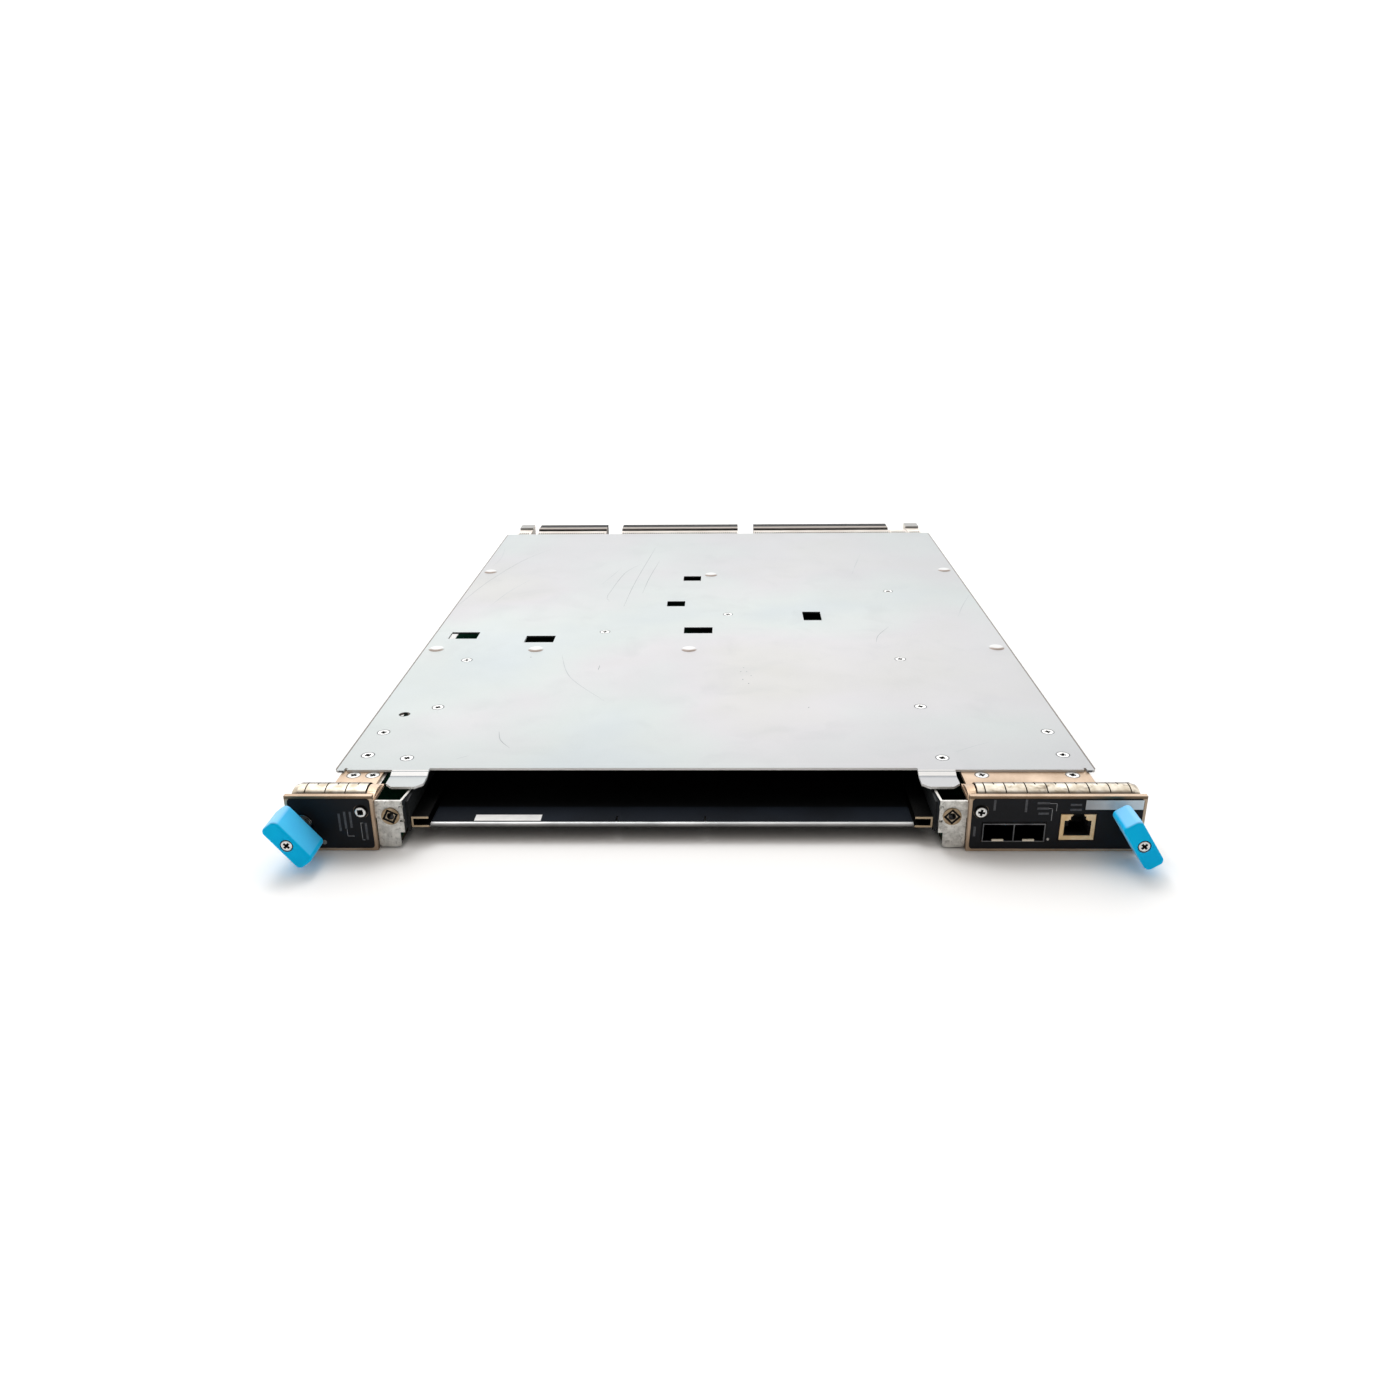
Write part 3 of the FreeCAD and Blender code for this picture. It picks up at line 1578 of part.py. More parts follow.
guide("left_guide", f"({board_left} + left_guide_inset)")
guide("right_guide", f"({power_block_end} + power_block_gap)")
transceiver_cage()
network_jack()
group_piece(
    "status_lens",
    [
        Part.makeCylinder(
            value("lens_radius"),
            value("lens_length"),
            vector(lens_x, "-overlay_sheet", "lens_height"),
            FreeCAD.Vector(0, 1, 0),
        )
    ],
)
group_piece("cover_standoffs", [standoff(x, y, cover_bottom) for x, y in posts])
group_piece("flange_standoff", [standoff(right["flange_screws"][1], "flange_row", shelf_bottom)])
spacers()
group_piece("cover_screws", [flat_screw(vector(x, y, "cover_top")) for x, y in cover_screw_places])
flange_screw_xs = left["flange_screws"] + right["flange_screws"]
group_piece("flange_screws", [flat_screw(vector(x, "flange_row", cover_bottom)) for x in flange_screw_xs])
group_piece(
    "face_screws",
    [
        pan_screw(vector(side["face_screw"], "0", face_screw_height), value("face_screw_length"))
        for side in sides
    ],
)

doc.recompute()
failed = [item.Name for item in doc.Objects if "Invalid" in item.State or "Error" in item.State]
failed += [piece.Label for piece in subparts if piece.Shape.isNull() or not piece.Shape.isValid()]
if failed:
    raise RuntimeError("not built: " + ", ".join(failed))
os.makedirs("parts", exist_ok=True)
for piece in subparts:
    piece.Shape.exportStep(f"parts/{piece.Label}.step")
print(len(subparts), "pieces")
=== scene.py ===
import math
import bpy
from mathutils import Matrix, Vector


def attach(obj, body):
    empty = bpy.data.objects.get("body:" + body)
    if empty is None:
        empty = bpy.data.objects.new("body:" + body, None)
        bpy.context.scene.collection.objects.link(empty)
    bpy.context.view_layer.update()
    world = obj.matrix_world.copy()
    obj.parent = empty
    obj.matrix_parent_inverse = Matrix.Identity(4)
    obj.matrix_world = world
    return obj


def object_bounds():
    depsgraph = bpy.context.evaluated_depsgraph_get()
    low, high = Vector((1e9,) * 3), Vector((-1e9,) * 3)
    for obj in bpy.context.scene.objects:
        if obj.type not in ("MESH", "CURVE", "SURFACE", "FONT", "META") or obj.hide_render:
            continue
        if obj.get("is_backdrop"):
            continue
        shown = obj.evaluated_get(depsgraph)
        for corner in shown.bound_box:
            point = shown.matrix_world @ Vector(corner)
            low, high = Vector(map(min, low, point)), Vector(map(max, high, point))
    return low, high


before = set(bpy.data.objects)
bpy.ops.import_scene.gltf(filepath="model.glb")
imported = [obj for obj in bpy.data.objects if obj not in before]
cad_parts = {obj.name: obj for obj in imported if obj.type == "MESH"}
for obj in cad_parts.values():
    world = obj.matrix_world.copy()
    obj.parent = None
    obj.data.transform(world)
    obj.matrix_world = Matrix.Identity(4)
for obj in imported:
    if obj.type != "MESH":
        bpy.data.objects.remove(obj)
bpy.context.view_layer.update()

from types import SimpleNamespace

import bmesh
import bpy
from mathutils import Matrix, Vector

mm = 0.001
frontPlane = -268.2  # the front plates' outer face along Y, in mm


def spot(x, y, z):
    # card millimetres, with Y counted back from the front plates, to metres in the frame
    return Vector((x, y + frontPlane, z)) * mm


def onAxis(axis, place):
    # one card millimetre place along an axis, in metres in the frame
    return spot(place, place, place)["XYZ".index(axis)]


def hexColor(text):
    # sRGB hex to linear
    parts = [int(text[i:i + 2], 16) / 255 for i in (1, 3, 5)]
    return [p / 12.92 if p <= 0.04045 else ((p + 0.055) / 1.055) ** 2.4 for p in parts] + [1.0]


def perMetre(size):
    # texture scale for a pattern whose features are this many mm across
    return 1000 / size


def addNode(tree, kind, inputs=None, stops=None, **settings):
    node = tree.nodes.new(kind)
    for name, setting in settings.items():
        setattr(node, name, setting)
    for key, item in (inputs or {}).items():
        if isinstance(item, bpy.types.NodeSocket):
            tree.links.new(item, node.inputs[key])
        else:
            node.inputs[key].default_value = item
    for i, (place, color) in enumerate(stops or ()):
        elements = node.color_ramp.elements
        element = elements[i] if i < 2 else elements.new(place)
        element.position = place
        element.color = hexColor(color)
    return node


# What a look has unless it says otherwise. Sizes of patches and grain, and the grain's depth, are in mm.
baseLook = {
    "metallic": 0.0, "specular": 0.5, "sheen": 0.0, "sheenRough": 0.3, "relief": 0.5,
    "patchSpan": (0.34, 0.66), "patchDetail": 4.0, "grainSpan": (0.3, 0.7), "grainDetail": 2.0,
}


def startCoat(look):
    # soft patches of two tones, and a fine grain that shows in gloss and relief
    look = {**baseLook, **look}
    material = bpy.data.materials.new(look["name"])
    material.use_nodes = True
    tree = material.node_tree
    tree.nodes.clear()
    coords = addNode(tree, "ShaderNodeTexCoord").outputs
    patches, grain = (
        addNode(tree, "ShaderNodeTexNoise", {
            "Vector": coords["Object"], "Scale": perMetre(look[size]), "Detail": look[size + "Detail"],
        }).outputs[0]
        for size in ("patch", "grain")
    )
    tones = zip(look["patchSpan"], (look["dark"], look["light"]))
    tone = addNode(tree, "ShaderNodeValToRGB", {"Fac": patches}, stops=tones).outputs[0]
    gloss = addNode(tree, "ShaderNodeMapRange", {
        "Value": grain, "From Min": look["grainSpan"][0], "From Max": look["grainSpan"][1],
        "To Min": look["rough"][0], "To Max": look["rough"][1],
    })
    relief = addNode(
        tree, "ShaderNodeBump", {"Height": grain, "Strength": look["relief"], "Distance": look["depth"] * mm}
    )
    shader = addNode(tree, "ShaderNodeBsdfPrincipled", {
        "Base Color": tone, "Roughness": gloss.outputs[0], "Normal": relief.outputs[0],
        "Metallic": look["metallic"], "Specular IOR Level": look["specular"],
        "Sheen Weight": look["sheen"], "Sheen Roughness": look["sheenRough"],
    })
    addNode(tree, "ShaderNodeOutputMaterial", {"Surface": shader.outputs[0]})
    return SimpleNamespace(
        material=material, tree=tree, place=coords["Object"], shader=shader, tone=tone,
        axes=addNode(tree, "ShaderNodeSeparateXYZ", {"Vector": coords["Object"]}).outputs,
        facing=addNode(tree, "ShaderNodeSeparateXYZ", {"Vector": coords["Normal"]}).outputs,
    )


def overprint(coat, mask, color):
    # lays a mark of one colour over the coat's tone so far
    over = addNode(coat.tree, "ShaderNodeMix", {0: mask, 6: coat.tone, 7: hexColor(color)}, data_type="RGBA")
    coat.tone = over.outputs[2]
    coat.tree.links.new(coat.tone, coat.shader.inputs["Base Color"])


def overfade(coat, measure, clean, full, most, color):
    # a mark that comes in between two values of a measure, up to a share
    rise = addNode(
        coat.tree, "ShaderNodeMapRange",
        {"Value": measure, "From Min": clean, "From Max": full, "To Max": most},
    )
    overprint(coat, rise.outputs[0], color)
    return rise.outputs[0]


def fadeAlong(coat, fades):
    # such marks along an axis, each with its clean end and full end in card mm, its share and its colour
    for axis, clean, full, most, color in fades:
        overfade(coat, coat.axes[axis], onAxis(axis, clean), onAxis(axis, full), most, color)


def within(coat, spans):
    # one inside a block given in card mm by its middle and half width along some axes, and nought outside
    mask = None
    for axis, (middle, half) in spans.items():
        near = addNode(
            coat.tree, "ShaderNodeMath", {0: coat.axes[axis], 1: onAxis(axis, middle), 2: half * mm},
            operation="COMPARE",
        ).outputs[0]
        if mask is None:
            mask = near
        else:
            mask = addNode(coat.tree, "ShaderNodeMath", {0: mask, 1: near}, operation="MULTIPLY").outputs[0]
    return mask


def beside(coat, middle, reach):
    # one up to a reach in metres from a place in card mm, and nought beyond it
    away = addNode(coat.tree, "ShaderNodeVectorMath", {0: coat.place, 1: spot(*middle)}, operation="DISTANCE")
    near = addNode(coat.tree, "ShaderNodeMath", {0: away.outputs["Value"], 1: reach}, operation="LESS_THAN")
    return near.outputs[0]


def sideways(coat, least):
    # one on faces that look to the left or the right
    across = addNode(coat.tree, "ShaderNodeMath", {0: coat.facing["X"]}, operation="ABSOLUTE")
    turned = addNode(coat.tree, "ShaderNodeMath", {0: across.outputs[0], 1: least}, operation="GREATER_THAN")
    return turned.outputs[0]


def blots(coat, size, stops, detail=5.0, distortion=0.0):
    # cloudy spots about this many mm across, in the tones of the stops
    spots = addNode(coat.tree, "ShaderNodeTexNoise", {
        "Vector": coat.place, "Scale": perMetre(size), "Detail": detail, "Distortion": distortion,
    })
    return addNode(coat.tree, "ShaderNodeValToRGB", {"Fac": spots.outputs[0]}, stops=stops).outputs[0]


finishes = {}

# Electro-galvanised steel sheet: pale, silky, cool to warm in wide clouds, greyer where hands hold it.
coverLook = {
    "name": "zincPlatedSheet", "dark": "#BBC1C4", "light": "#CACFD1", "patch": 60.0, "grain": 0.9,
    "rough": (0.44, 0.56), "metallic": 0.12, "specular": 0.35, "depth": 0.01,
    "cloudSize": 190.0, "cloudShare": 0.6,
    "clouds": ((0.3, "#B9C5CB"), (0.44, "#C2CAC8"), (0.56, "#C6C2C6"), (0.7, "#C2BFB9")),
    "smudge": "#A4A9AC", "smudgeSize": 34.0, "smudgeMask": ((0.54, "#000000"), (0.8, "#8A8A8A")),
    # darker towards the front, the rear and the right, and a painted highlight on the top of the raised
    # buttons
    "fades": (
        ("Y", 110.0, 36.0, 0.3, "#A4A9AC"), ("Y", 250.0, 480.0, 0.42, "#A4A9AC"),
        ("X", 60.0, 190.0, 0.3, "#A4A9AC"), ("Z", 27.0, 27.5, 0.5, "#F1F2F2"),
    ),
    "longEdge": 189.65, "sheared": "#6E6863",
    # painted shade: a dark disc round the small round hole on the left, which makes the hole look wider: its
    # place, reach and colour
    "hole": (-174.2, 106.0, 26.8), "holeReach": 3.2, "holeShade": "#1F2A28",
    # painted shade and painted highlight on faces that turn to the front, by Y of their normals: clean, full,
    # share, and colour behind and in the front zone; the buttons' front slopes get a warm painted shade, the
    # joggles a painted highlight, and cut edges painted shade in the windows and a painted highlight in front
    "slopeShadeAndLight": ((-0.05, -0.3, 0.9, "#A6968C", "#F1F2F2"), (-0.85, -0.95, 1.0, "#1D1F20", "#F6F6F4")),
    "frontZone": 60.0,
    # painted shade along the bend lines across the two tongues: Y and half width in mm
    "bendShades": ((33.0, 0.22), (29.7, 0.3), (28.2, 0.2)), "bendShade": "#8A9198",
}


def makeCoverFinish(look):
    coat = startCoat(look)
    tree = coat.tree
    clouds = blots(coat, look["cloudSize"], look["clouds"], detail=3.0)
    cloudy = addNode(
        tree, "ShaderNodeMix", {0: look["cloudShare"], 6: coat.tone, 7: clouds}, data_type="RGBA"
    )
    coat.tone = cloudy.outputs[2]
    overprint(coat, blots(coat, look["smudgeSize"], look["smudgeMask"], distortion=0.6), look["smudge"])
    fadeAlong(coat, look["fades"])
    side = addNode(tree, "ShaderNodeMath", {0: coat.axes["X"]}, operation="ABSOLUTE")
    rim = addNode(
        tree, "ShaderNodeMath", {0: side.outputs[0], 1: look["longEdge"] * mm}, operation="GREATER_THAN"
    )
    overprint(coat, rim.outputs[0], look["sheared"])
    # painted shade round the small hole on the left
    overprint(coat, beside(coat, look["hole"], look["holeReach"] * mm), look["holeShade"])
    atFront = addNode(
        tree, "ShaderNodeMath", {0: coat.axes["Y"], 1: onAxis("Y", look["frontZone"])}, operation="LESS_THAN"
    )
    # painted shade and painted highlight on faces that turn to the front
    for clean, full, most, behind, ahead in look["slopeShadeAndLight"]:
        turned = overfade(coat, coat.facing["Y"], clean, full, most, behind)
        both = addNode(tree, "ShaderNodeMath", {0: turned, 1: atFront.outputs[0]}, operation="MULTIPLY")
        overprint(coat, both.outputs[0], ahead)
    # painted shade along the tongues' bend lines
    for y, half in look["bendShades"]:
        overprint(coat, within(coat, {"Y": (y, half)}), look["bendShade"])
    return coat.material


finishes["cover"] = makeCoverFinish(coverLook)

scratchLook = {
    "patch": 12.0, "grain": 0.6, "rough": (0.5, 0.6), "metallic": 0.2, "specular": 0.2, "depth": 0.004,
}
inkLook = {"patch": 1.2, "grain": 0.3, "rough": (0.5, 0.6), "depth": 0.003}
# What each other finish is, and what that gives the eye.
plainLooks = {
    # zinc-plated sheet that stands in the bay, painted near black as the shade deep in the bay
    "wall": {
        "name": "shadedBayZinc", "dark": "#1C1E20", "light": "#2C2F31", "patch": 40.0, "grain": 0.9,
        "rough": (0.45, 0.6), "metallic": 0.3, "specular": 0.2, "depth": 0.01,
    },
    # bronze-plated retaining disc
    "nutBronze": {
        "name": "platedBronze", "dark": "#7D6B52", "light": "#A8947A", "patch": 3.0, "grain": 0.5,
        "rough": (0.28, 0.42), "metallic": 0.85, "depth": 0.01,
    },
    # turned stainless shaft
    "shaft": {
        "name": "turnedSteel", "dark": "#A9A9A7", "light": "#CFCFCC", "patch": 3.0, "grain": 0.4,
        "rough": (0.24, 0.38), "metallic": 1.0, "depth": 0.006,
    },
    # bright chrome collar
    "chrome": {
        "name": "chromePlate", "dark": "#77797B", "light": "#A4A6A8", "patch": 4.0, "grain": 0.5,
        "rough": (0.08, 0.16), "metallic": 1.0, "depth": 0.003,
    },
    # nickel-plated brass posts
    "post": {
        "name": "platedPost", "dark": "#B4B4B0", "light": "#D5D5D1", "patch": 3.0, "grain": 0.5,
        "rough": (0.25, 0.4), "metallic": 1.0, "depth": 0.006,
    },
    # moulded epoxy of chips and converters
    "chip": {
        "name": "mouldedEpoxy", "dark": "#17181A", "light": "#222326", "patch": 9.0, "grain": 0.35,
        "rough": (0.5, 0.65), "depth": 0.012,
    },
    # drawn aluminium cans
    "can": {
        "name": "drawnAluminium", "dark": "#B9BBBE", "light": "#D6D8DA", "patch": 4.0, "grain": 0.5,
        "rough": (0.25, 0.36), "metallic": 1.0, "depth": 0.005,
    },
    # black glass-filled plastic of connectors
    "connectorDark": {
        "name": "darkGlassNylon", "dark": "#17181A", "light": "#232427", "patch": 8.0, "grain": 0.4,
        "rough": (0.5, 0.65), "specular": 0.25, "depth": 0.01,
    },
    # cream liquid-crystal polymer wafers
    "connectorCream": {
        "name": "creamPolymer", "dark": "#D8CFC6", "light": "#EFEAE3", "patch": 30.0, "grain": 0.6,
        "rough": (0.45, 0.58), "depth": 0.008,
    },
    # scratched zinc, and painted shade for the gaps round screw heads
    "deepScratch": {**scratchLook, "name": "deepScratch", "dark": "#878E92", "light": "#A0A6AA"},
    "faintScratch": {**scratchLook, "name": "faintScratch", "dark": "#A6ACB0", "light": "#B8BDC0"},
    "recessShade": {
        "name": "headGapShade", "dark": "#4C4F51", "light": "#83878A", "patch": 3.0, "grain": 0.5,
        "rough": (0.6, 0.7), "specular": 0.2, "depth": 0.004,
    },
    # unlit gaps and recesses, and tinned contact tails
    "gapBlack": {
        "name": "deepGap", "dark": "#060605", "light": "#0D0B09", "patch": 3.0, "grain": 0.5,
        "rough": (0.6, 0.7), "specular": 0.1, "depth": 0.004,
    },
    "tail": {
        "name": "tinnedTail", "dark": "#2C2B2B", "light": "#454344", "patch": 3.0, "grain": 0.4,
        "rough": (0.4, 0.52), "metallic": 0.3, "specular": 0.3, "depth": 0.004,
    },
    # clear-grey light pipe
    "lens": {
        "name": "lightPipe", "dark": "#77756F", "light": "#94918A", "patch": 2.0, "grain": 0.3,
        "rough": (0.15, 0.25), "depth": 0.003,
    },
    # grey screen-printing ink, and the same where it has nearly worn off
    "ink": {**inkLook, "name": "greyInk", "dark": "#77787B", "light": "#9B9C9E"},
    "fadedInk": {**inkLook, "name": "fadedInk", "dark": "#36383D", "light": "#4C4E53"},
}
for finish, look in plainLooks.items():
    finishes[finish] = startCoat(look).material

# Moulded nylon in sky blue: satin, slightly cloudy, with a painted highlight on the faces that are turned up.
gripLook = {
    "name": "blueNylon", "dark": "#00BEFC", "light": "#00C8FF", "patch": 14.0, "grain": 0.7,
    "rough": (0.42, 0.54), "specular": 0.05, "sheen": 0.35, "depth": 0.012,
    "highlight": "#9AD6FF", "highlightShare": 0.78, "highlightFrom": 0.5, "highlightTo": 0.92,
}


def makeGripFinish(look):
    coat = startCoat(look)
    # painted highlight on the faces that are turned up
    overfade(coat, coat.facing["Z"], look["highlightFrom"], look["highlightTo"], look["highlightShare"], look["highlight"])
    return coat.material


finishes["grip"] = makeGripFinish(gripLook)

# Chromate on steel: warm bronze, half bright, darker brown at the top of its front faces, and painted shade
# round the face screws.
bronzeLook = {
    "name": "bronzeChromate", "dark": "#9F866D", "light": "#C6AF98", "patch": 22.0, "grain": 0.6,
    "rough": (0.3, 0.48), "metallic": 0.7, "depth": 0.012,
    "rim": "#5F4B34", "rimFrom": 27.6, "rimTo": 27.9, "rimShare": 0.82, "frontFacing": -0.8,
    "recessShade": "#14110E", "seatReach": 3.5, "seats": ((-167.9, 0.0, 21.3), (126.8, 0.0, 21.3)),
}


def makeBronzeFinish(look):
    coat = startCoat(look)
    tree = coat.tree
    front = addNode(
        tree, "ShaderNodeMath", {0: coat.facing["Y"], 1: look["frontFacing"]}, operation="LESS_THAN"
    )
    upper = addNode(tree, "ShaderNodeMapRange", {
        "Value": coat.axes["Z"], "From Min": look["rimFrom"] * mm, "From Max": look["rimTo"] * mm,
        "To Max": look["rimShare"],
    })
    rim = addNode(tree, "ShaderNodeMath", {0: front.outputs[0], 1: upper.outputs[0]}, operation="MULTIPLY")
    overprint(coat, rim.outputs[0], look["rim"])
    # painted shade in the seats round the face screws
    for seat in look["seats"]:
        overprint(coat, beside(coat, seat, look["seatReach"] * mm), look["recessShade"])
    return coat.material


finishes["bronze"] = makeBronzeFinish(bronzeLook)

# Nickel-plated screws: bright heads, with painted shade on all that lies below each head's face, in the
# recesses.
screwLook = {
    "name": "nickelPlate", "dark": "#D6D6D4", "light": "#F0F0EE", "patch": 2.0, "grain": 0.3,
    "rough": (0.24, 0.38), "metallic": 0.6, "depth": 0.005, "recessShade": "#0B0B0B",
}
# where the painted shade starts below each head's face: the axis, the card mm and which side of it
recessLevels = {
    "coverScrew": ("Z", 26.72, "LESS_THAN"), "flangeScrew": ("Z", 25.5, "LESS_THAN"),
    "faceScrew": ("Y", -1.33, "GREATER_THAN"), "gripScrew": ("Y", -22.63, "GREATER_THAN"),
}


def makeScrewFinish(look, axis, level, side):
    coat = startCoat(look)
    # painted shade below the head's face
    beyond = addNode(
        coat.tree, "ShaderNodeMath", {0: coat.axes[axis], 1: onAxis(axis, level)}, operation=side
    )
    overprint(coat, beyond.outputs[0], look["recessShade"])
    return coat.material


for finish, (axis, level, side) in recessLevels.items():
    finishes[finish] = makeScrewFinish(screwLook, axis, level, side)

# Hot-dip galvanised sheet: pale grey with spangle and stains, and painted shade on the faces that look to the
# left or right, where it turns in towards the bay.
bracketLook = {
    "name": "galvanisedSheet", "dark": "#BDBCB7", "light": "#E6E5E0", "patch": 3.0, "grain": 1.0,
    "rough": (0.36, 0.54), "metallic": 0.4, "depth": 0.02,
    "stain": "#6E6B64", "stainSize": 1.9, "stainMask": ((0.53, "#000000"), (0.68, "#B8B8B8")),
    "inward": "#262B30", "inwardFacing": 0.6,
}


def makeBracketFinish(look):
    coat = startCoat(look)
    overprint(coat, blots(coat, look["stainSize"], look["stainMask"], distortion=0.8), look["stain"])
    # painted shade on faces that look to the left or right
    overprint(coat, sideways(coat, look["inwardFacing"]), look["inward"])
    return coat.material


finishes["bracket"] = makeBracketFinish(bracketLook)

# Pieces that keep their own colour up to one depth behind the front plates and turn dark behind it;
# for the bay's floor, film and rails, the jack, the nuts and the cage the dark is painted shade deep in
# the card.
deepLooks = {
    # zinc-plated floor sheet, bright along its rolled front hem, with painted shade on the hem's lower edge
    # and on the sheet behind it
    "hem": {
        "name": "hemZinc", "dark": "#B9BCBE", "light": "#DADCDD", "patch": 18.0, "grain": 0.9,
        "rough": (0.3, 0.42), "metallic": 0.5, "depth": 0.01, "darkFrom": 13.0, "behind": "#08090A",
        "fades": (("Z", 8.4, 7.6, 0.9, "#2B2A28"),),
    },
    # blue-black polyester insulating film, painted near black as shade behind the mouth of the bay
    "film": {
        "name": "insulatingFilm", "dark": "#10141A", "light": "#181E27", "patch": 40.0, "grain": 0.7,
        "rough": (0.5, 0.6), "specular": 0.06, "depth": 0.006, "darkFrom": 28.0, "behind": "#040405",
    },
    # gold-toned plating of the network jack, with painted shade inside it and round its stepped mouth,
    # which makes the mouth look wider: the half width of each step, and its middle and half height
    "jack": {
        "name": "goldTonedPlate", "dark": "#F0CC98", "light": "#FFE3BC", "patch": 5.0, "grain": 0.4,
        "rough": (0.3, 0.42), "metallic": 0.1, "specular": 0.1, "depth": 0.005,
        "darkFrom": 0.3, "behind": "#050404",
        "blocks": tuple(
            ({"X": (172.85, half), "Z": (middle, rise)}, "#050404")
            for half, middle, rise in ((6.3, 12.6, 4.0), (3.6, 17.75, 1.15), (2.5, 19.4, 0.5))
        ),
    },
    # tan nylon rails, painted near black as shade behind their front end
    "rail": {
        "name": "tanNylon", "dark": "#BFA888", "light": "#D3BFA2", "patch": 16.0, "grain": 0.8,
        "rough": (0.5, 0.65), "specular": 0.05, "depth": 0.01, "darkFrom": 9.75, "behind": "#030303",
    },
    # oiled steel nuts, with painted shade in the bore and behind their front face
    "nutSteel": {
        "name": "oiledSteel", "dark": "#B7A489", "light": "#DECDB4", "patch": 2.0, "grain": 0.4,
        "rough": (0.3, 0.45), "metallic": 0.1, "specular": 0.2, "depth": 0.01,
        "darkFrom": 2.3, "behind": "#040302",
        "shadedBores": ((-154.8, 2.15, 17.4), (114.0, 2.15, 17.4)), "boreReach": 1.8,
    },
    # nickel-plated sheet of the transceiver cage: only its front rim and its latch tabs' tips catch light
    "cage": {
        "name": "cageSheet", "dark": "#4C4D4F", "light": "#717274", "patch": 7.0, "grain": 0.5,
        "rough": (0.26, 0.4), "metallic": 0.8, "depth": 0.006, "darkFrom": -0.35, "behind": "#060607",
        "blocks": tuple(
            ({"X": (x, 2.8), "Y": (-0.3, 0.55), "Z": (6.3, 0.5)}, "#F1E6D0") for x in (135.75, 150.25)
        ),
    },
    # die-cast guide blocks, cream at the foot in front of the block
    "guide": {
        "name": "dieCastZinc", "dark": "#E2DAD0", "light": "#F1EBE3", "patch": 6.0, "grain": 0.8,
        "rough": (0.4, 0.55), "metallic": 0.1, "depth": 0.02, "darkFrom": 545.9, "behind": "#8F8F8D",
        "sides": "#DDD6CD", "sideFacing": 0.6,
    },
}


def makeDeepFinish(look):
    coat = startCoat(look)
    # dark behind the given depth, painted shade on most pieces
    behind = addNode(
        coat.tree, "ShaderNodeMath", {0: coat.axes["Y"], 1: onAxis("Y", look["darkFrom"])},
        operation="GREATER_THAN",
    )
    overprint(coat, behind.outputs[0], look["behind"])
    for bore in look.get("shadedBores", ()):
        overprint(coat, beside(coat, bore, look["boreReach"] * mm), look["behind"])
    fadeAlong(coat, look.get("fades", ()))
    if "sides" in look:
        overprint(coat, sideways(coat, look["sideFacing"]), look["sides"])
    for spans, color in look.get("blocks", ()):
        overprint(coat, within(coat, spans), color)
    return coat.material


for finish, look in deepLooks.items():
    finishes[finish] = makeDeepFinish(look)

# Polycarbonate label film, printed nearly black: velvet grain, a little dust.
overlayLook = {
    "name": "printedFilm", "dark": "#0A0C10", "light": "#111318", "patch": 26.0, "grain": 0.35,
    "rough": (0.42, 0.56), "specular": 0.18, "depth": 0.012,
    "dust": "#4E4E50", "dustSize": 1.1, "dustMask": ((0.72, "#000000"), (0.8, "#555555")),
    # shadowed cut edges round the ports: middle and half width in X and in Z
    "cut": "#020203",
    "cuts": ({"X": (172.85, 9.0), "Z": (13.1, 7.5)}, {"X": (143.0, 15.5), "Z": (10.25, 5.6)}),
    # worn through to the metal beside the cage's lower corner: place, reach and size of its notches
    "scuff": (159.6, -0.3, 6.6), "scuffReach": 1.5, "scuffNotch": 0.9, "bare": "#C4C1BB",
}


def makeOverlayFinish(look):
    coat = startCoat(look)
    tree = coat.tree
    overprint(coat, blots(coat, look["dustSize"], look["dustMask"], detail=1.0), look["dust"])
    for spans in look["cuts"]:
        overprint(coat, within(coat, spans), look["cut"])
    ragged = addNode(
        tree, "ShaderNodeTexNoise",
        {"Vector": coat.place, "Scale": perMetre(look["scuffNotch"]), "Detail": 3.0},
    )
    reach = addNode(
        tree, "ShaderNodeMath", {0: ragged.outputs[0], 1: look["scuffReach"] * mm}, operation="MULTIPLY"
    )
    overprint(coat, beside(coat, look["scuff"], reach.outputs[0]), look["bare"])
    return coat.material


finishes["overlay"] = makeOverlayFinish(overlayLook)

# Gold-toned spring metal of the contact strips: bright crests, painted shade along the foot and back, and
# brown in patches.
stripLook = {
    "name": "springStrip", "dark": "#BAAD96", "light": "#EDE6D8", "patch": 5.0, "grain": 0.5,
    "rough": (0.28, 0.46), "metallic": 0.45, "depth": 0.012,
    # the strip on the right is dirtier towards its outer half: X of both ends, and where blots start there
    "tarnish": "#5E4A33", "tarnishSize": 4.5, "tarnishShare": 0.8, "tarnishFull": 0.74,
    "tarnishAcross": (130.0, 172.0), "tarnishStarts": (0.62, 0.52),
    # painted shade behind the crest's back and in front of the foot, where the strip meets the parts below
    "fades": (("Y", 12.1, 13.4, 0.9, "#2B1E13"), ("Y", 7.3, 5.9, 0.9, "#38291B")),
}


def makeStripFinish(look):
    coat = startCoat(look)
    tree = coat.tree
    tarnish = addNode(tree, "ShaderNodeTexNoise", {
        "Vector": coat.place, "Scale": perMetre(look["tarnishSize"]), "Detail": 5.0, "Distortion": 0.5,
    })
    (inner, outer), (innerStart, outerStart) = look["tarnishAcross"], look["tarnishStarts"]
    start = addNode(tree, "ShaderNodeMapRange", {
        "Value": coat.axes["X"], "From Min": inner * mm, "From Max": outer * mm,
        "To Min": innerStart, "To Max": outerStart,
    })
    overfade(
        coat, tarnish.outputs[0], start.outputs[0], look["tarnishFull"], look["tarnishShare"], look["tarnish"]
    )
    fadeAlong(coat, look["fades"])
    return coat.material


finishes["strip"] = makeStripFinish(stripLook)

